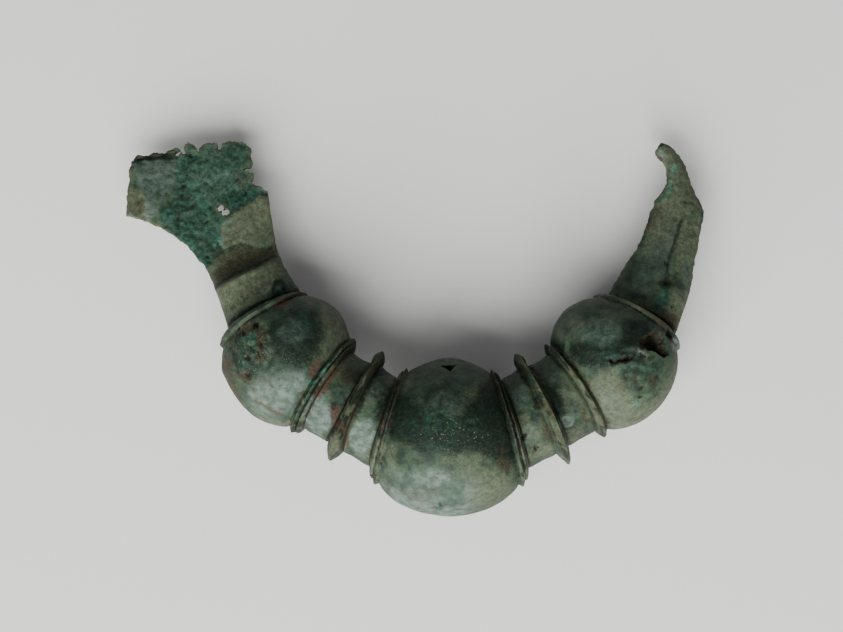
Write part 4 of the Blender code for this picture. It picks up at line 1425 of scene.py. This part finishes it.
@dataclass(frozen=True)
class Patina:
    """Patinated leaded tin bronze: a cast surface under centuries of corrosion.

    The alloy lies under smooth grey-green films of tin and copper salts, which are matt with a
    faint waxy gloss where they are dense and dark. Malachite crusts stand on them, bright and
    rough, and red cuprite shows where they have flaked.
    """

    name: str = "patinated_bronze"
    base: tuple[str, str] = ("#1e2b22", "#3a4a38")
    mottle: float = 3.2
    cloud: float = 1.3
    grain: float = 0.45
    stipple: float = 0.35
    pit_spacing: float = 0.40
    drift: float = 0.5
    waxy_gloss: float = 0.14
    roughness: tuple[float, float] = (0.50, 0.70)
    bump_height: float = 0.14
    pale_grain: str = "#525940"
    dark_pit: str = "#12150e"
    layers: tuple[Layer, ...] = (
        Layer(Film.OLIVE, ("#424838", "#535a47"), 2.0, 0.60, 0.82, 0.30),
        Layer(Film.PALE, ("#465348", "#627068"), 3.0, 0.50, 0.80, 0.12),
        Layer(Film.DARK, ("#08110b", "#13231a"), 1.4, 0.80, 0.92, 0.6),
        Layer(Film.SLATE, ("#2a3731", "#47544c"), 2.4, 0.60, 0.75, 0.2),
        Layer(Film.EMERALD, ("#152d22", "#2c4d40"), 1.5, 1.20, 0.80, 0.5),
        Layer(Film.TURQUOISE, ("#2a5646", "#4a7d6b"), 0.8, 1.10, 0.65, 0.6),
        Layer(Film.EARTH, ("#262016", "#3f3626"), 0.8, 1.20, 0.78),
        Layer(Film.CUPRITE, ("#36241b", "#523a2d"), 0.6, 1.20, 0.75),
    )
    # Painted shade in crevices and hollows, and pale edges that are partly wear and partly a painted
    # highlight.
    shades: tuple[tuple[Film, str, float], ...] = (
        (Film.WORN_AND_HIGHLIT_EDGE, "#56563f", 0.22),
        (Film.SHADE_IN_CREVICES, "#18140c", 0.90),
        (Film.SHADE_IN_HOLLOWS, "#100f0a", 0.95),
    )

    def material(self) -> bpy.types.Material:
        """Build the nodes.

        Returns:
            The material.
        """
        material = bpy.data.materials.new(self.name)
        material.use_nodes = True
        tree = material.node_tree
        shader = tree.nodes["Principled BSDF"]
        shader.inputs["Metallic"].default_value = 0.0
        shader.inputs["IOR"].default_value = 1.5
        shader.inputs["Specular IOR Level"].default_value = self.waxy_gloss
        place = add_node(tree, "TexCoord", {}, output="Object")
        broad, fine, patchy = (
            add_node(tree, "TexNoise", {
                "Vector": place, "Scale": 1.0 / (size * MM), "Detail": detail, **GRAINY,
            }) for size, detail in ((self.mottle, 5.0), (self.grain, 4.0), (self.cloud, 4.0))
        )
        light, dark = linear_colour(self.base[1]), linear_colour(self.base[0])
        share = add_node(tree, "MapRange", {"Value": broad, **TONE_RANGE}, EASED)
        colour = add_node(tree, "Mix", {"Factor": share, 6: dark, 7: light}, BLEND, 2)
        for number, layer in enumerate(self.layers):
            colour = self.covered(tree, place, colour, layer, number)
        shade = add_node(tree, "Math", {0: fine, 1: 0.5, 2: 0.3}, MULTIPLY_ADD)
        shade = add_node(tree, "Math", {0: patchy, 1: 1.0, 2: shade}, MULTIPLY_ADD)
        multiply = {**BLEND, "blend_type": "MULTIPLY"}
        colour = add_node(tree, "Mix", {"Factor": 1.0, 6: colour, 7: shade}, multiply, 2)
        colour, dots = self.speckled(tree, place, colour)
        colour = self.shaded(tree, colour, fine)
        tree.links.new(colour, shader.inputs["Base Color"])
        low, high = self.roughness
        spread = {"From Min": 0.3, "From Max": 0.7, "To Min": low, "To Max": high}
        rough = add_node(tree, "MapRange", {"Value": broad, **spread})
        tree.links.new(rough, shader.inputs["Roughness"])
        height = add_node(tree, "Math", {0: fine, 1: dots}, {"operation": "SUBTRACT"})
        height = add_node(tree, "Math", {0: patchy, 1: 1.4, 2: height}, MULTIPLY_ADD)
        drop = {"Strength": 0.7, "Distance": self.bump_height * MM, "Height": height}
        tree.links.new(add_node(tree, "Bump", drop), shader.inputs["Normal"])
        return material

    def covered(
        self, tree: bpy.types.NodeTree, place: bpy.types.NodeSocket,
        below: bpy.types.NodeSocket, layer: Layer, number: int,
    ) -> bpy.types.NodeSocket:
        """Lay one film over the colour below it.

        Args:
            tree: The material's nodes.
            place: Object coordinates.
            below: Colour under the film.
            layer: The film.
            number: Its place in the order, which also moves its noise.

        Returns:
            The colour with the film on it.
        """
        shift = (0.37 * number, 0.21 * number, 0.13 * number)
        moved = add_node(tree, "VectorMath", {0: place, 1: shift}, {"operation": "ADD"})
        border, tone, stipple = (
            add_node(tree, "TexNoise", {
                "Vector": moved, "Scale": 1.0 / (size * MM), "Detail": detail, **GRAINY,
            }) for size, detail in ((layer.grain, 5.0), (layer.grain * 0.45, 3.0), (self.stipple, 2.0))
        )
        amount = add_node(tree, "Attribute", {}, {"attribute_name": layer.film.value}, "Fac")
        middle = -0.5 * (layer.ragged + layer.peppered)
        edge = add_node(tree, "Math", {0: border, 1: layer.ragged, 2: middle}, MULTIPLY_ADD)
        total = add_node(tree, "Math", {0: amount, 1: edge}, {"operation": "ADD"})
        total = add_node(tree, "Math", {0: stipple, 1: layer.peppered, 2: total}, MULTIPLY_ADD)
        ramp = {"From Min": 0.15, "From Max": 0.85, "To Min": 0.0, "To Max": layer.cover}
        cover = add_node(tree, "MapRange", {"Value": total, **ramp}, EASED)
        share = add_node(tree, "MapRange", {"Value": tone, **TONE_RANGE}, EASED)
        tones = dict(zip((6, 7), map(linear_colour, layer.tones)))
        paint = add_node(tree, "Mix", {"Factor": share, **tones}, BLEND, 2)
        return add_node(tree, "Mix", {"Factor": cover, 6: below, 7: paint}, BLEND, 2)

    def speckled(
        self, tree: bpy.types.NodeTree, place: bpy.types.NodeSocket, below: bpy.types.NodeSocket
    ) -> tuple[bpy.types.NodeSocket, bpy.types.NodeSocket]:
        """Scatter dark pits and pale grains, which are drawn at twice their real size.

        Args:
            tree: The material's nodes.
            place: Object coordinates.
            below: Colour under the specks.

        Returns:
            The speckled colour, and how deep the pits are.
        """
        amount = add_node(tree, "Attribute", {}, {"attribute_name": Film.SPECKLE.value}, "Fac")
        waves = {"Vector": place, "Scale": 1.0 / (self.stipple * MM), "Detail": 2.0}
        drift = add_node(tree, "TexNoise", waves, output="Color")
        bent = add_node(tree, "VectorMath", {0: drift, 1: (self.drift * MM,) * 3, 2: place}, MULTIPLY_ADD)
        spacing = {"Vector": bent, "Scale": 1.0 / (self.pit_spacing * MM)}
        distance = add_node(tree, "TexVoronoi", spacing, output="Distance")
        random = distance.node.outputs["Color"]
        red = add_node(tree, "SeparateColor", {"Color": random})
        green, blue = red.node.outputs[1], red.node.outputs[2]
        size = add_node(tree, "Math", {0: amount, 1: 0.24, 2: 0.14}, MULTIPLY_ADD)
        size = add_node(tree, "Math", {0: size, 1: blue}, MULTIPLY)
        dots = add_node(tree, "Math", {0: distance, 1: size}, {"operation": "LESS_THAN"})
        dark, light = (
            add_node(tree, "Math", {0: channel, 1: limit}, {"operation": "GREATER_THAN"})
            for channel, limit in ((red, 0.55), (green, 0.50))
        )
        dark, light = (add_node(tree, "Math", {0: chosen, 1: dots}, MULTIPLY) for chosen in (dark, light))
        light = add_node(tree, "Math", {0: light, 1: amount}, MULTIPLY)
        stain = add_node(tree, "Math", {0: dark, 1: 0.7}, MULTIPLY)
        colour = below
        for share, tone in ((stain, self.dark_pit), (light, self.pale_grain)):
            mix = {"Factor": share, 6: colour, 7: linear_colour(tone)}
            colour = add_node(tree, "Mix", mix, BLEND, 2)
        return colour, dark

    def shaded(
        self, tree: bpy.types.NodeTree, colour: bpy.types.NodeSocket, fine: bpy.types.NodeSocket
    ) -> bpy.types.NodeSocket:
        """Paint shade into crevices and hollows, and pale the edges, as wear and as a painted highlight.

        Args:
            tree: The material's nodes.
            colour: Colour of the films.
            fine: Fine grain.

        Returns:
            The finished colour.
        """
        for film, tone, top in self.shades:
            amount = add_node(tree, "Attribute", {}, {"attribute_name": film.value}, "Fac")
            amount = add_node(tree, "Math", {0: fine, 1: 0.5, 2: amount}, MULTIPLY_ADD)
            ramp = {"From Min": 0.35, "From Max": 1.0, "To Min": 0.0, "To Max": top}
            share = add_node(tree, "MapRange", {"Value": amount, **ramp}, EASED)
            mix = {"Factor": share, 6: colour, 7: linear_colour(tone)}
            colour = add_node(tree, "Mix", mix, BLEND, 2)
        return colour


def add_node(
    tree: bpy.types.NodeTree, kind: str, inputs: dict, settings: dict | None = None,
    output: int | str = 0,
) -> bpy.types.NodeSocket:
    """Add a node with its settings and links.

    Args:
        tree: The nodes to add to.
        kind: The node's type, after the shared start of its name.
        inputs: A value or a socket for each input, by name or number.
        settings: Properties of the node.
        output: The output that is wanted, by name or number.

    Returns:
        That output, whose node gives the others.
    """
    node = tree.nodes.new("ShaderNode" + kind)
    for name, value in (settings or {}).items():
        setattr(node, name, value)
    for name, value in inputs.items():
        if isinstance(value, bpy.types.NodeSocket):
            tree.links.new(value, node.inputs[name])
        else:
            node.inputs[name].default_value = value
    return node.outputs[output]


@dataclass
class Casting:
    """The whole casting: bow and arms joined, cut, laid down, corroded and painted."""

    arch: Arch
    bow: Bow
    arms: tuple[Arm, ...]
    pockets: tuple[Pocket, ...]
    tears: tuple[Tear, ...]
    torn_edge: TornEdge
    patina: Patina
    chaplet_side: float = 1.75
    chaplet_depth: float = 3.0
    chaplet_rise: float = 38.5
    chaplet_turn: float = -83.0
    flat_guard: float = 0.5
    skin: tuple[float, float] = (0.055, 1.8)
    crust: tuple[float, float] = (0.40, 1.0)
    film_wander: tuple[float, float] = (0.9, 3.0)
    crease_wander: tuple[float, float] = (0.25, 2.0)
    pit_depth: float = 0.12
    crust_pit_depth: float = 0.20
    nibble: tuple[float, float] = (0.22, 0.9)
    smooth_angle: float = math.radians(52.0)

    def chaplet_cutter(self) -> bpy.types.Mesh:
        """Make the small three-sided hole on the middle bead's inner shoulder.

        Returns:
            The cutter in the arch's plane.
        """
        rise = math.radians(self.chaplet_rise)
        direction = Vector((0.0, math.cos(rise), math.sin(rise)))
        centre = Vector((0.0, -self.arch.radius - self.arch.middle_bead_offset, 0.0))
        shape = bmesh.new()
        bmesh.ops.create_cone(
            shape, cap_ends=True, segments=3, radius1=self.chaplet_side,
            radius2=self.chaplet_side, depth=self.chaplet_depth * 2.0,
        )
        move_onto_bead(shape, centre, direction, self.bow.middle_bead_radius, self.chaplet_turn)
        return to_mesh(shape, "chaplet_hole")

    def joined(self) -> bpy.types.Mesh:
        """Join the arms to the bow and cut the losses.

        Returns:
            One closed mesh in the arch's plane.
        """
        target = add_object("casting_blank", self.bow.build())
        helpers = [(arm.build(), "UNION") for arm in self.arms]
        helpers += [(pocket.build(self.arch), "DIFFERENCE") for pocket in self.pockets]
        helpers += [(tear.build(self.arch, number), "DIFFERENCE") for number, tear in enumerate(self.tears)]
        helpers.append((self.torn_edge.build(self.arch), "DIFFERENCE"))
        helpers.append((self.chaplet_cutter(), "DIFFERENCE"))
        made = []
        for mesh, operation in helpers:
            helper = add_object(mesh.name, mesh)
            boolean = target.modifiers.new(mesh.name, "BOOLEAN")
            boolean.operation = operation
            boolean.object = helper
            made.append(helper)
        bpy.context.view_layer.update()
        evaluated = target.evaluated_get(bpy.context.evaluated_depsgraph_get())
        mesh = bpy.data.meshes.new_from_object(evaluated)
        for helper in (target, *made):
            bpy.data.objects.remove(helper, do_unlink=True)
        return mesh

    def laid_down(self, mesh: bpy.types.Mesh) -> None:
        """Lay the casting down and cut the small flats that its beads rest on.

        Args:
            mesh: The casting in the arch's plane, changed in place.
        """
        shape = bmesh.new()
        shape.from_mesh(mesh)
        bmesh.ops.transform(shape, matrix=self.arch.laid_down(), verts=shape.verts)
        geometry = [*shape.verts, *shape.edges, *shape.faces]
        bmesh.ops.bisect_plane(
            shape, geom=geometry, plane_co=(0.0, 0.0, 0.0), plane_no=(0.0, 0.0, 1.0),
            clear_inner=True,
        )
        bmesh.ops.holes_fill(shape, edges=[e for e in shape.edges if e.is_boundary], sides=0)
        bmesh.ops.remove_doubles(shape, verts=shape.verts, dist=0.01)
        bmesh.ops.dissolve_degenerate(shape, dist=0.005, edges=shape.edges)
        bmesh.ops.triangulate(shape, faces=[f for f in shape.faces if len(f.verts) > 4])
        shape.to_mesh(mesh)
        shape.free()

    def film_amounts(self, points: np.ndarray, normals: np.ndarray) -> dict[Film, np.ndarray]:
        """Work out how much of each film lies at each point.

        Args:
            points: Vertices in the part's frame, in millimetres.
            normals: Their normals.

        Returns:
            One array a film.
        """
        amounts = {film: np.zeros(len(points)) for film in Film}
        upper = smooth_step(normals[:, 2], -0.45, 0.05)
        under = 1.0 - upper
        shift_x = lumpy(points, self.film_wander, 51)
        shift_y = lumpy(points, self.film_wander, 53)
        for film, spot in SPOTS:
            along, across = spot.reach(points[:, 0] + shift_x, points[:, 1] + shift_y)
            cover = spot.amount * (1.0 - smooth_step(np.hypot(along, across), 0.25, 1.55))
            lay(amounts, film, cover * upper)
        flat = points[:, :2] + 0.35 * np.stack([shift_x, shift_y], axis=1)
        for patch in PATCHES:
            depth = inside_outline(flat, patch.outline)
            lay(amounts, patch.film, patch.strength * smooth_step(depth, -patch.soft, patch.soft) * upper)
        broken = 0.9 * np.abs(lumps(points, 1.1, 57)) + 0.7 * lumps(points, 2.6, 59)
        for streak in STREAKS:
            gap, _ = line_distance(flat, streak.points)
            gap = gap + broken * streak.width
            cover = 1.0 - smooth_step(gap, 0.1 * streak.width, 1.9 * streak.width)
            lay(amounts, streak.film, streak.strength * cover * upper)
        for drift in DRIFTS:
            cover = smooth_step(lumps(points, drift.size, drift.seed), drift.low, drift.high)
            lay(amounts, drift.film, (drift.everywhere + drift.below * under) * cover)
        return amounts

    def corroded(self, mesh: bpy.types.Mesh) -> None:
        """Dent, crease, pit and roughen the surface, apart from the flats it rests on.

        Args:
            mesh: The casting in the part's frame, in millimetres.
        """
        points, normals = vertex_rows(mesh), vertex_rows(mesh, "normal")
        amounts = self.film_amounts(points, normals)
        upper = smooth_step(normals[:, 2], -0.1, 0.3)
        sideways = smooth_step(normals[:, 2], -0.6, -0.2)
        sink = np.zeros(len(points))
        for dent in DENTS:
            along, across = dent.reach(points[:, 0], points[:, 1])
            sink += dent.amount * np.exp(-(along ** 2 + across ** 2)) * sideways
        wander = lumpy(points, self.crease_wander, 81)
        for groove in GROOVES:
            gap, side = line_distance(points[:, :2], groove.points)
            signed = (gap + wander * groove.width) * side
            sink += groove.depth * np.exp(-(signed / groove.width) ** 2) * upper
            fall = smooth_step(signed, -0.3, 0.3) * np.exp(-np.abs(signed) / groove.fade)
            sink += groove.ledge * fall * upper
        for patch in PATCHES:
            if patch.rise:
                depth = inside_outline(points[:, :2], patch.outline) + wander
                sink -= patch.rise * smooth_step(depth, -patch.soft, patch.soft) * upper
        crust = np.maximum(amounts[Film.ROUGH], 0.35 * amounts[Film.EMERALD])
        rise = lumpy(points, self.skin, 83) + crust * lumpy(points, self.crust, 85)
        pitted = pits(points, 1.9, 87) * smooth_step(lumps(points, 4.0, 89), -0.1, 0.5)
        rise -= (self.pit_depth + self.crust_pit_depth * crust) * pitted
        on_arm = smooth_step(points[:, 1], 4.0, 9.0)
        on_edge = 1.0 - smooth_step(np.abs(normals[:, 2]), 0.3, 0.75)
        rise += on_arm * on_edge * lumpy(points, self.nibble, 97)
        resting = smooth_step(points[:, 2], 0.02, self.flat_guard)
        moved = points + normals * ((rise - sink) * resting)[:, None]
        moved[:, 2] = np.maximum(moved[:, 2], 0.0)
        set_points(mesh, moved)

    def relief_shades(self, mesh: bpy.types.Mesh) -> tuple[np.ndarray, np.ndarray]:
        """Find crevices and edges from how the surface bends at each point, to paint shade and highlight.

        Args:
            mesh: The casting in millimetres.

        Returns:
            How deep in a crevice each point is, and how far out on an edge.
        """
        points, normals = vertex_rows(mesh), vertex_rows(mesh, "normal")
        ends = np.empty(len(mesh.edges) * 2, np.int32)
        mesh.edges.foreach_get("vertices", ends)
        first, second = ends.reshape(-1, 2).T
        count = np.bincount(ends, minlength=len(points)).astype(float)

        def around(values: np.ndarray) -> np.ndarray:
            """Average each point's neighbours.

            Args:
                values: One number a point.

            Returns:
                The averages.
            """
            total = np.bincount(first, values[second], len(points))
            total += np.bincount(second, values[first], len(points))
            return total / np.maximum(count, 1.0)

        smooth = [points[:, axis] for axis in range(3)]
        for _ in range(4):
            smooth = [0.4 * value + 0.6 * around(value) for value in smooth]
        offset = np.stack(smooth, axis=1) - points
        bend = (offset * normals).sum(axis=1)
        for _ in range(2):
            bend = 0.5 * bend + 0.5 * around(bend)
        return smooth_step(bend, 0.02, 0.12), smooth_step(-bend, 0.04, 0.14)

    def stain_rings(
        self, amounts: dict[Film, np.ndarray], points: np.ndarray, place: np.ndarray,
        distance: np.ndarray,
    ) -> None:
        """Stain the rings olive, brown and dark, and lay a brown band along their feet, both dirt and
        painted shade.

        Args:
            amounts: How much of each film lies at each point, changed in place.
            points: Vertices in the part's frame, in millimetres.
            place: Their distances along the bow.
            distance: Their distances from the bow's axis.
        """
        raised = smooth_step(distance - self.bow.foot_radius(place), 0.25, 0.9)
        stained = {
            Film.OLIVE: 0.85 * np.ones(len(points)),
            Film.EARTH: 0.6 * smooth_step(lumps(points, 2.4, 91), 0.0, 0.5),
            Film.DARK: 0.95 * smooth_step(lumps(points, 3.2, 93), -0.35, 0.3),
            Film.SPECKLE: 0.8 * np.ones(len(points)),
        }
        dirt_and_crease_shade = 0.65 * smooth_step(lumps(points, 2.8, 95), -0.3, 0.3)
        for ring in self.bow.mouldings:
            share = np.abs(place - ring.place) / (ring.width / 2.0)
            on_ring = raised * (1.0 - smooth_step(share, 1.0, 1.3))
            for film, strength in stained.items():
                lay(amounts, film, strength * on_ring)
            # A brown band along each ring's foot: dirt, and shade painted into the crease there.
            foot = dirt_and_crease_shade * (1.0 - smooth_step(np.abs(share - 1.15), 0.1, 0.6))
            lay(amounts, Film.EARTH, foot)

    def painted(self, mesh: bpy.types.Mesh) -> None:
        """Store how much of each film lies at each point, and of the painted shade and highlight.

        Args:
            mesh: The casting in the part's frame, in millimetres.
        """
        points, normals = vertex_rows(mesh), vertex_rows(mesh, "normal")
        amounts = self.film_amounts(points, normals)
        # Painted shade in crevices, and pale edges that are partly wear and partly a painted highlight.
        crevice, edge = self.relief_shades(mesh)
        amounts[Film.SHADE_IN_CREVICES] = crevice
        amounts[Film.WORN_AND_HIGHLIT_EDGE] = edge
        flat = np.array(self.arch.laid_down().inverted())
        back = points @ flat[:3, :3].T + flat[:3, 3]
        place, distance = self.arch.unbend(back)
        on_bow = np.abs(place) < self.arch.outer_collar_place - 0.8
        sunk = np.where(on_bow, self.bow.foot_radius(place) - distance, 0.0)
        lay(amounts, Film.EARTH, smooth_step(sunk, 0.4, 0.8) * 1.2)
        # Painted shade deep in the broken pocket and the chaplet hole.
        lay(amounts, Film.SHADE_IN_HOLLOWS, smooth_step(sunk, 0.8, 2.4) * 0.62)
        self.stain_rings(amounts, points, place, distance)
        for film, values in amounts.items():
            attribute = mesh.attributes.new(film.value, "FLOAT", "POINT")
            attribute.data.foreach_set("value", values.astype(np.float32))

    def build(self) -> bpy.types.Object:
        """Make the finished casting.

        Returns:
            Its object, at the origin, in metres.
        """
        mesh = self.joined()
        self.laid_down(mesh)
        self.corroded(mesh)
        self.painted(mesh)
        mesh.transform(Matrix.Scale(MM, 4))
        mesh.name = "fibula_bow_casting"
        mesh.shade_smooth()
        mesh.set_sharp_from_angle(angle=self.smooth_angle)
        mesh.materials.clear()
        mesh.materials.append(self.patina.material())
        return add_object("fibula_bow_casting", mesh)


@dataclass(frozen=True)
class PaperFinish:
    """Matt white photo card: an uncoated pressed sheet with a faint tooth."""

    name: str = "matt_white_card"
    tones: tuple[str, str] = ("#d9d8d6", "#dddcda")
    tooth: float = 1.5

    def material(self) -> bpy.types.Material:
        """Build the nodes.

        Returns:
            The material.
        """
        material = bpy.data.materials.new(self.name)
        material.use_nodes = True
        tree = material.node_tree
        shader = tree.nodes["Principled BSDF"]
        shader.inputs["Roughness"].default_value = 0.9
        shader.inputs["Specular IOR Level"].default_value = 0.2
        place = add_node(tree, "TexCoord", {}, output="Object")
        scale = 1.0 / (self.tooth * MM)
        grain = add_node(tree, "TexNoise", {"Vector": place, "Scale": scale, "Detail": 4.0, **GRAINY})
        tones = dict(zip((6, 7), map(linear_colour, self.tones)))
        colour = add_node(tree, "Mix", {"Factor": grain, **tones}, BLEND, 2)
        tree.links.new(colour, shader.inputs["Base Color"])
        return material


@dataclass(frozen=True)
class Studio:
    """The card the brooch lies on, the soft light and the camera (metres, degrees)."""

    card_size: float = 1.6
    target: tuple[float, float, float] = (0.0013, 0.0018, 0.013)
    distance: float = 0.443
    east: float = 0.5
    south: float = 4.5
    roll: float = 0.22
    lens: float = 101.0
    sensor: float = 36.0
    light_place: tuple[float, float, float] = (-0.18, -0.76, 0.68)
    light_size: float = 1.05
    light_power: float = 35.0
    sky_colour: str = "#e6e8ea"
    sky_strength: float = 0.29

    def card(self) -> bpy.types.Object:
        """Lay out the card.

        Returns:
            The card's object.
        """
        shape = bmesh.new()
        bmesh.ops.create_grid(shape, x_segments=1, y_segments=1, size=self.card_size / 2.0)
        card = add_object("photo_card", to_mesh(shape, "photo_card"))
        card.data.materials.append(PaperFinish().material())
        return card

    def lights(self) -> bpy.types.Object:
        """Hang one soft light at the near side, with a weak general light about it.

        Returns:
            The light's object.
        """
        data = bpy.data.lights.new("window_light", "AREA")
        data.shape = "SQUARE"
        data.size = self.light_size
        data.energy = self.light_power
        lamp = add_object("window_light", data)
        lamp.location = self.light_place
        lamp.rotation_euler = (-Vector(self.light_place)).to_track_quat("-Z", "Y").to_euler()
        world = bpy.data.worlds.new("room_light")
        world.use_nodes = True
        sky = world.node_tree.nodes["Background"]
        sky.inputs["Color"].default_value = linear_colour(self.sky_colour)
        sky.inputs["Strength"].default_value = self.sky_strength
        bpy.context.scene.world = world
        return lamp

    def camera(self) -> bpy.types.Object:
        """Set up the camera above the brooch, tipped a little to the near side.

        Returns:
            The camera's object.
        """
        data = bpy.data.cameras.new("view")
        data.lens = self.lens
        data.sensor_width = self.sensor
        east, south = math.sin(math.radians(self.east)), math.sin(math.radians(self.south))
        back = Vector((east, -south, math.sqrt(1.0 - east ** 2 - south ** 2)))
        right = Vector((0.0, 1.0, 0.0)).cross(back).normalized()
        upwards = back.cross(right)
        turned = Matrix((right, upwards, back)).transposed().to_4x4()
        camera = add_object("view", data)
        place = Matrix.Translation(Vector(self.target) + back * self.distance)
        camera.matrix_world = place @ turned @ Matrix.Rotation(math.radians(self.roll), 4, "Z")
        bpy.context.scene.camera = camera
        return camera


def main() -> None:
    """Build the brooch and its studio, and report each piece."""
    logging.basicConfig(level=logging.INFO, format="%(name)s: %(message)s")
    arch = Arch()
    bow = Bow(arch, steps=216, spacing=0.42)
    arms = (
        CatchArm(arch, sides=120, rings=110),
        PinArm(arch, sides=90, rings=100),
    )
    right = arch.side_bead_place
    pockets = (
        Pocket(
            "bead_break", right, bow.side_bead_radius, direction=(0.61, 0.085, 0.79), length=7.2,
            width=4.6, depth=2.4, turn=-13.0, points=3, raggedness=0.22, corner=0.52,
        ),
    )
    tears = (
        Tear(23.0, -2.85, 0.62),
        Tear(21.9, -3.2, 0.74),
        Tear(36.5, -0.4, 0.45, 1.5, 40.0),
    )
    torn_edge = TornEdge(
        line=(
            (18.6, -12.6), (19.6, -11.9), (21.9, -12.2), (23.0, -11.6), (23.8, -10.9), (24.7, -10.3),
            (25.2, -10.0), (25.3, -10.8), (26.2, -11.4), (26.7, -10.9), (27.2, -10.4), (27.8, -10.0),
            (27.9, -10.9), (27.7, -11.6), (28.4, -12.3), (29.4, -12.4), (29.8, -12.3), (30.5, -13.2),
            (31.3, -13.0), (31.8, -12.7), (32.4, -12.8), (33.0, -12.0), (33.7, -10.9), (34.2, -9.7),
            (34.4, -8.7), (33.6, -8.0), (33.8, -7.6), (34.7, -7.8), (35.5, -6.7), (35.8, -5.4),
            (35.7, -4.4), (34.9, -3.8), (35.9, -3.9), (37.0, -3.8), (37.7, -3.1), (37.6, -2.4),
            (36.7, -1.8), (35.8, -1.6), (35.9, -1.2), (37.0, -1.0), (37.4, -0.5), (37.5, 0.2),
            (37.7, 1.1), (37.8, 2.4), (38.4, 3.3), (38.8, 4.4), (38.8, 5.5), (39.6, 6.8),
            (39.5, 7.7), (38.9, 8.4), (37.4, 9.5), (36.7, 10.1), (35.8, 10.2), (34.4, 11.4),
            (32.6, 12.3), (31.3, 13.1), (29.9, 13.9), (28.9, 15.0),
        ),
        beyond=((30.0, 19.0), (45.0, 14.0), (45.0, -19.0), (17.0, -19.0)),
    )
    casting = Casting(arch, bow, arms, pockets, tears, torn_edge, Patina()).build()
    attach(casting, "root")
    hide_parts("fibula_bow")
    counts = len(casting.data.vertices), len(casting.data.polygons)
    LOG.info("%s: %d vertices, %d faces", casting.name, *counts)
    studio = Studio()
    for piece in (studio.card(), studio.camera(), studio.lights()):
        LOG.info("%s is in place", piece.name)


if __name__ == "__main__":
    main()
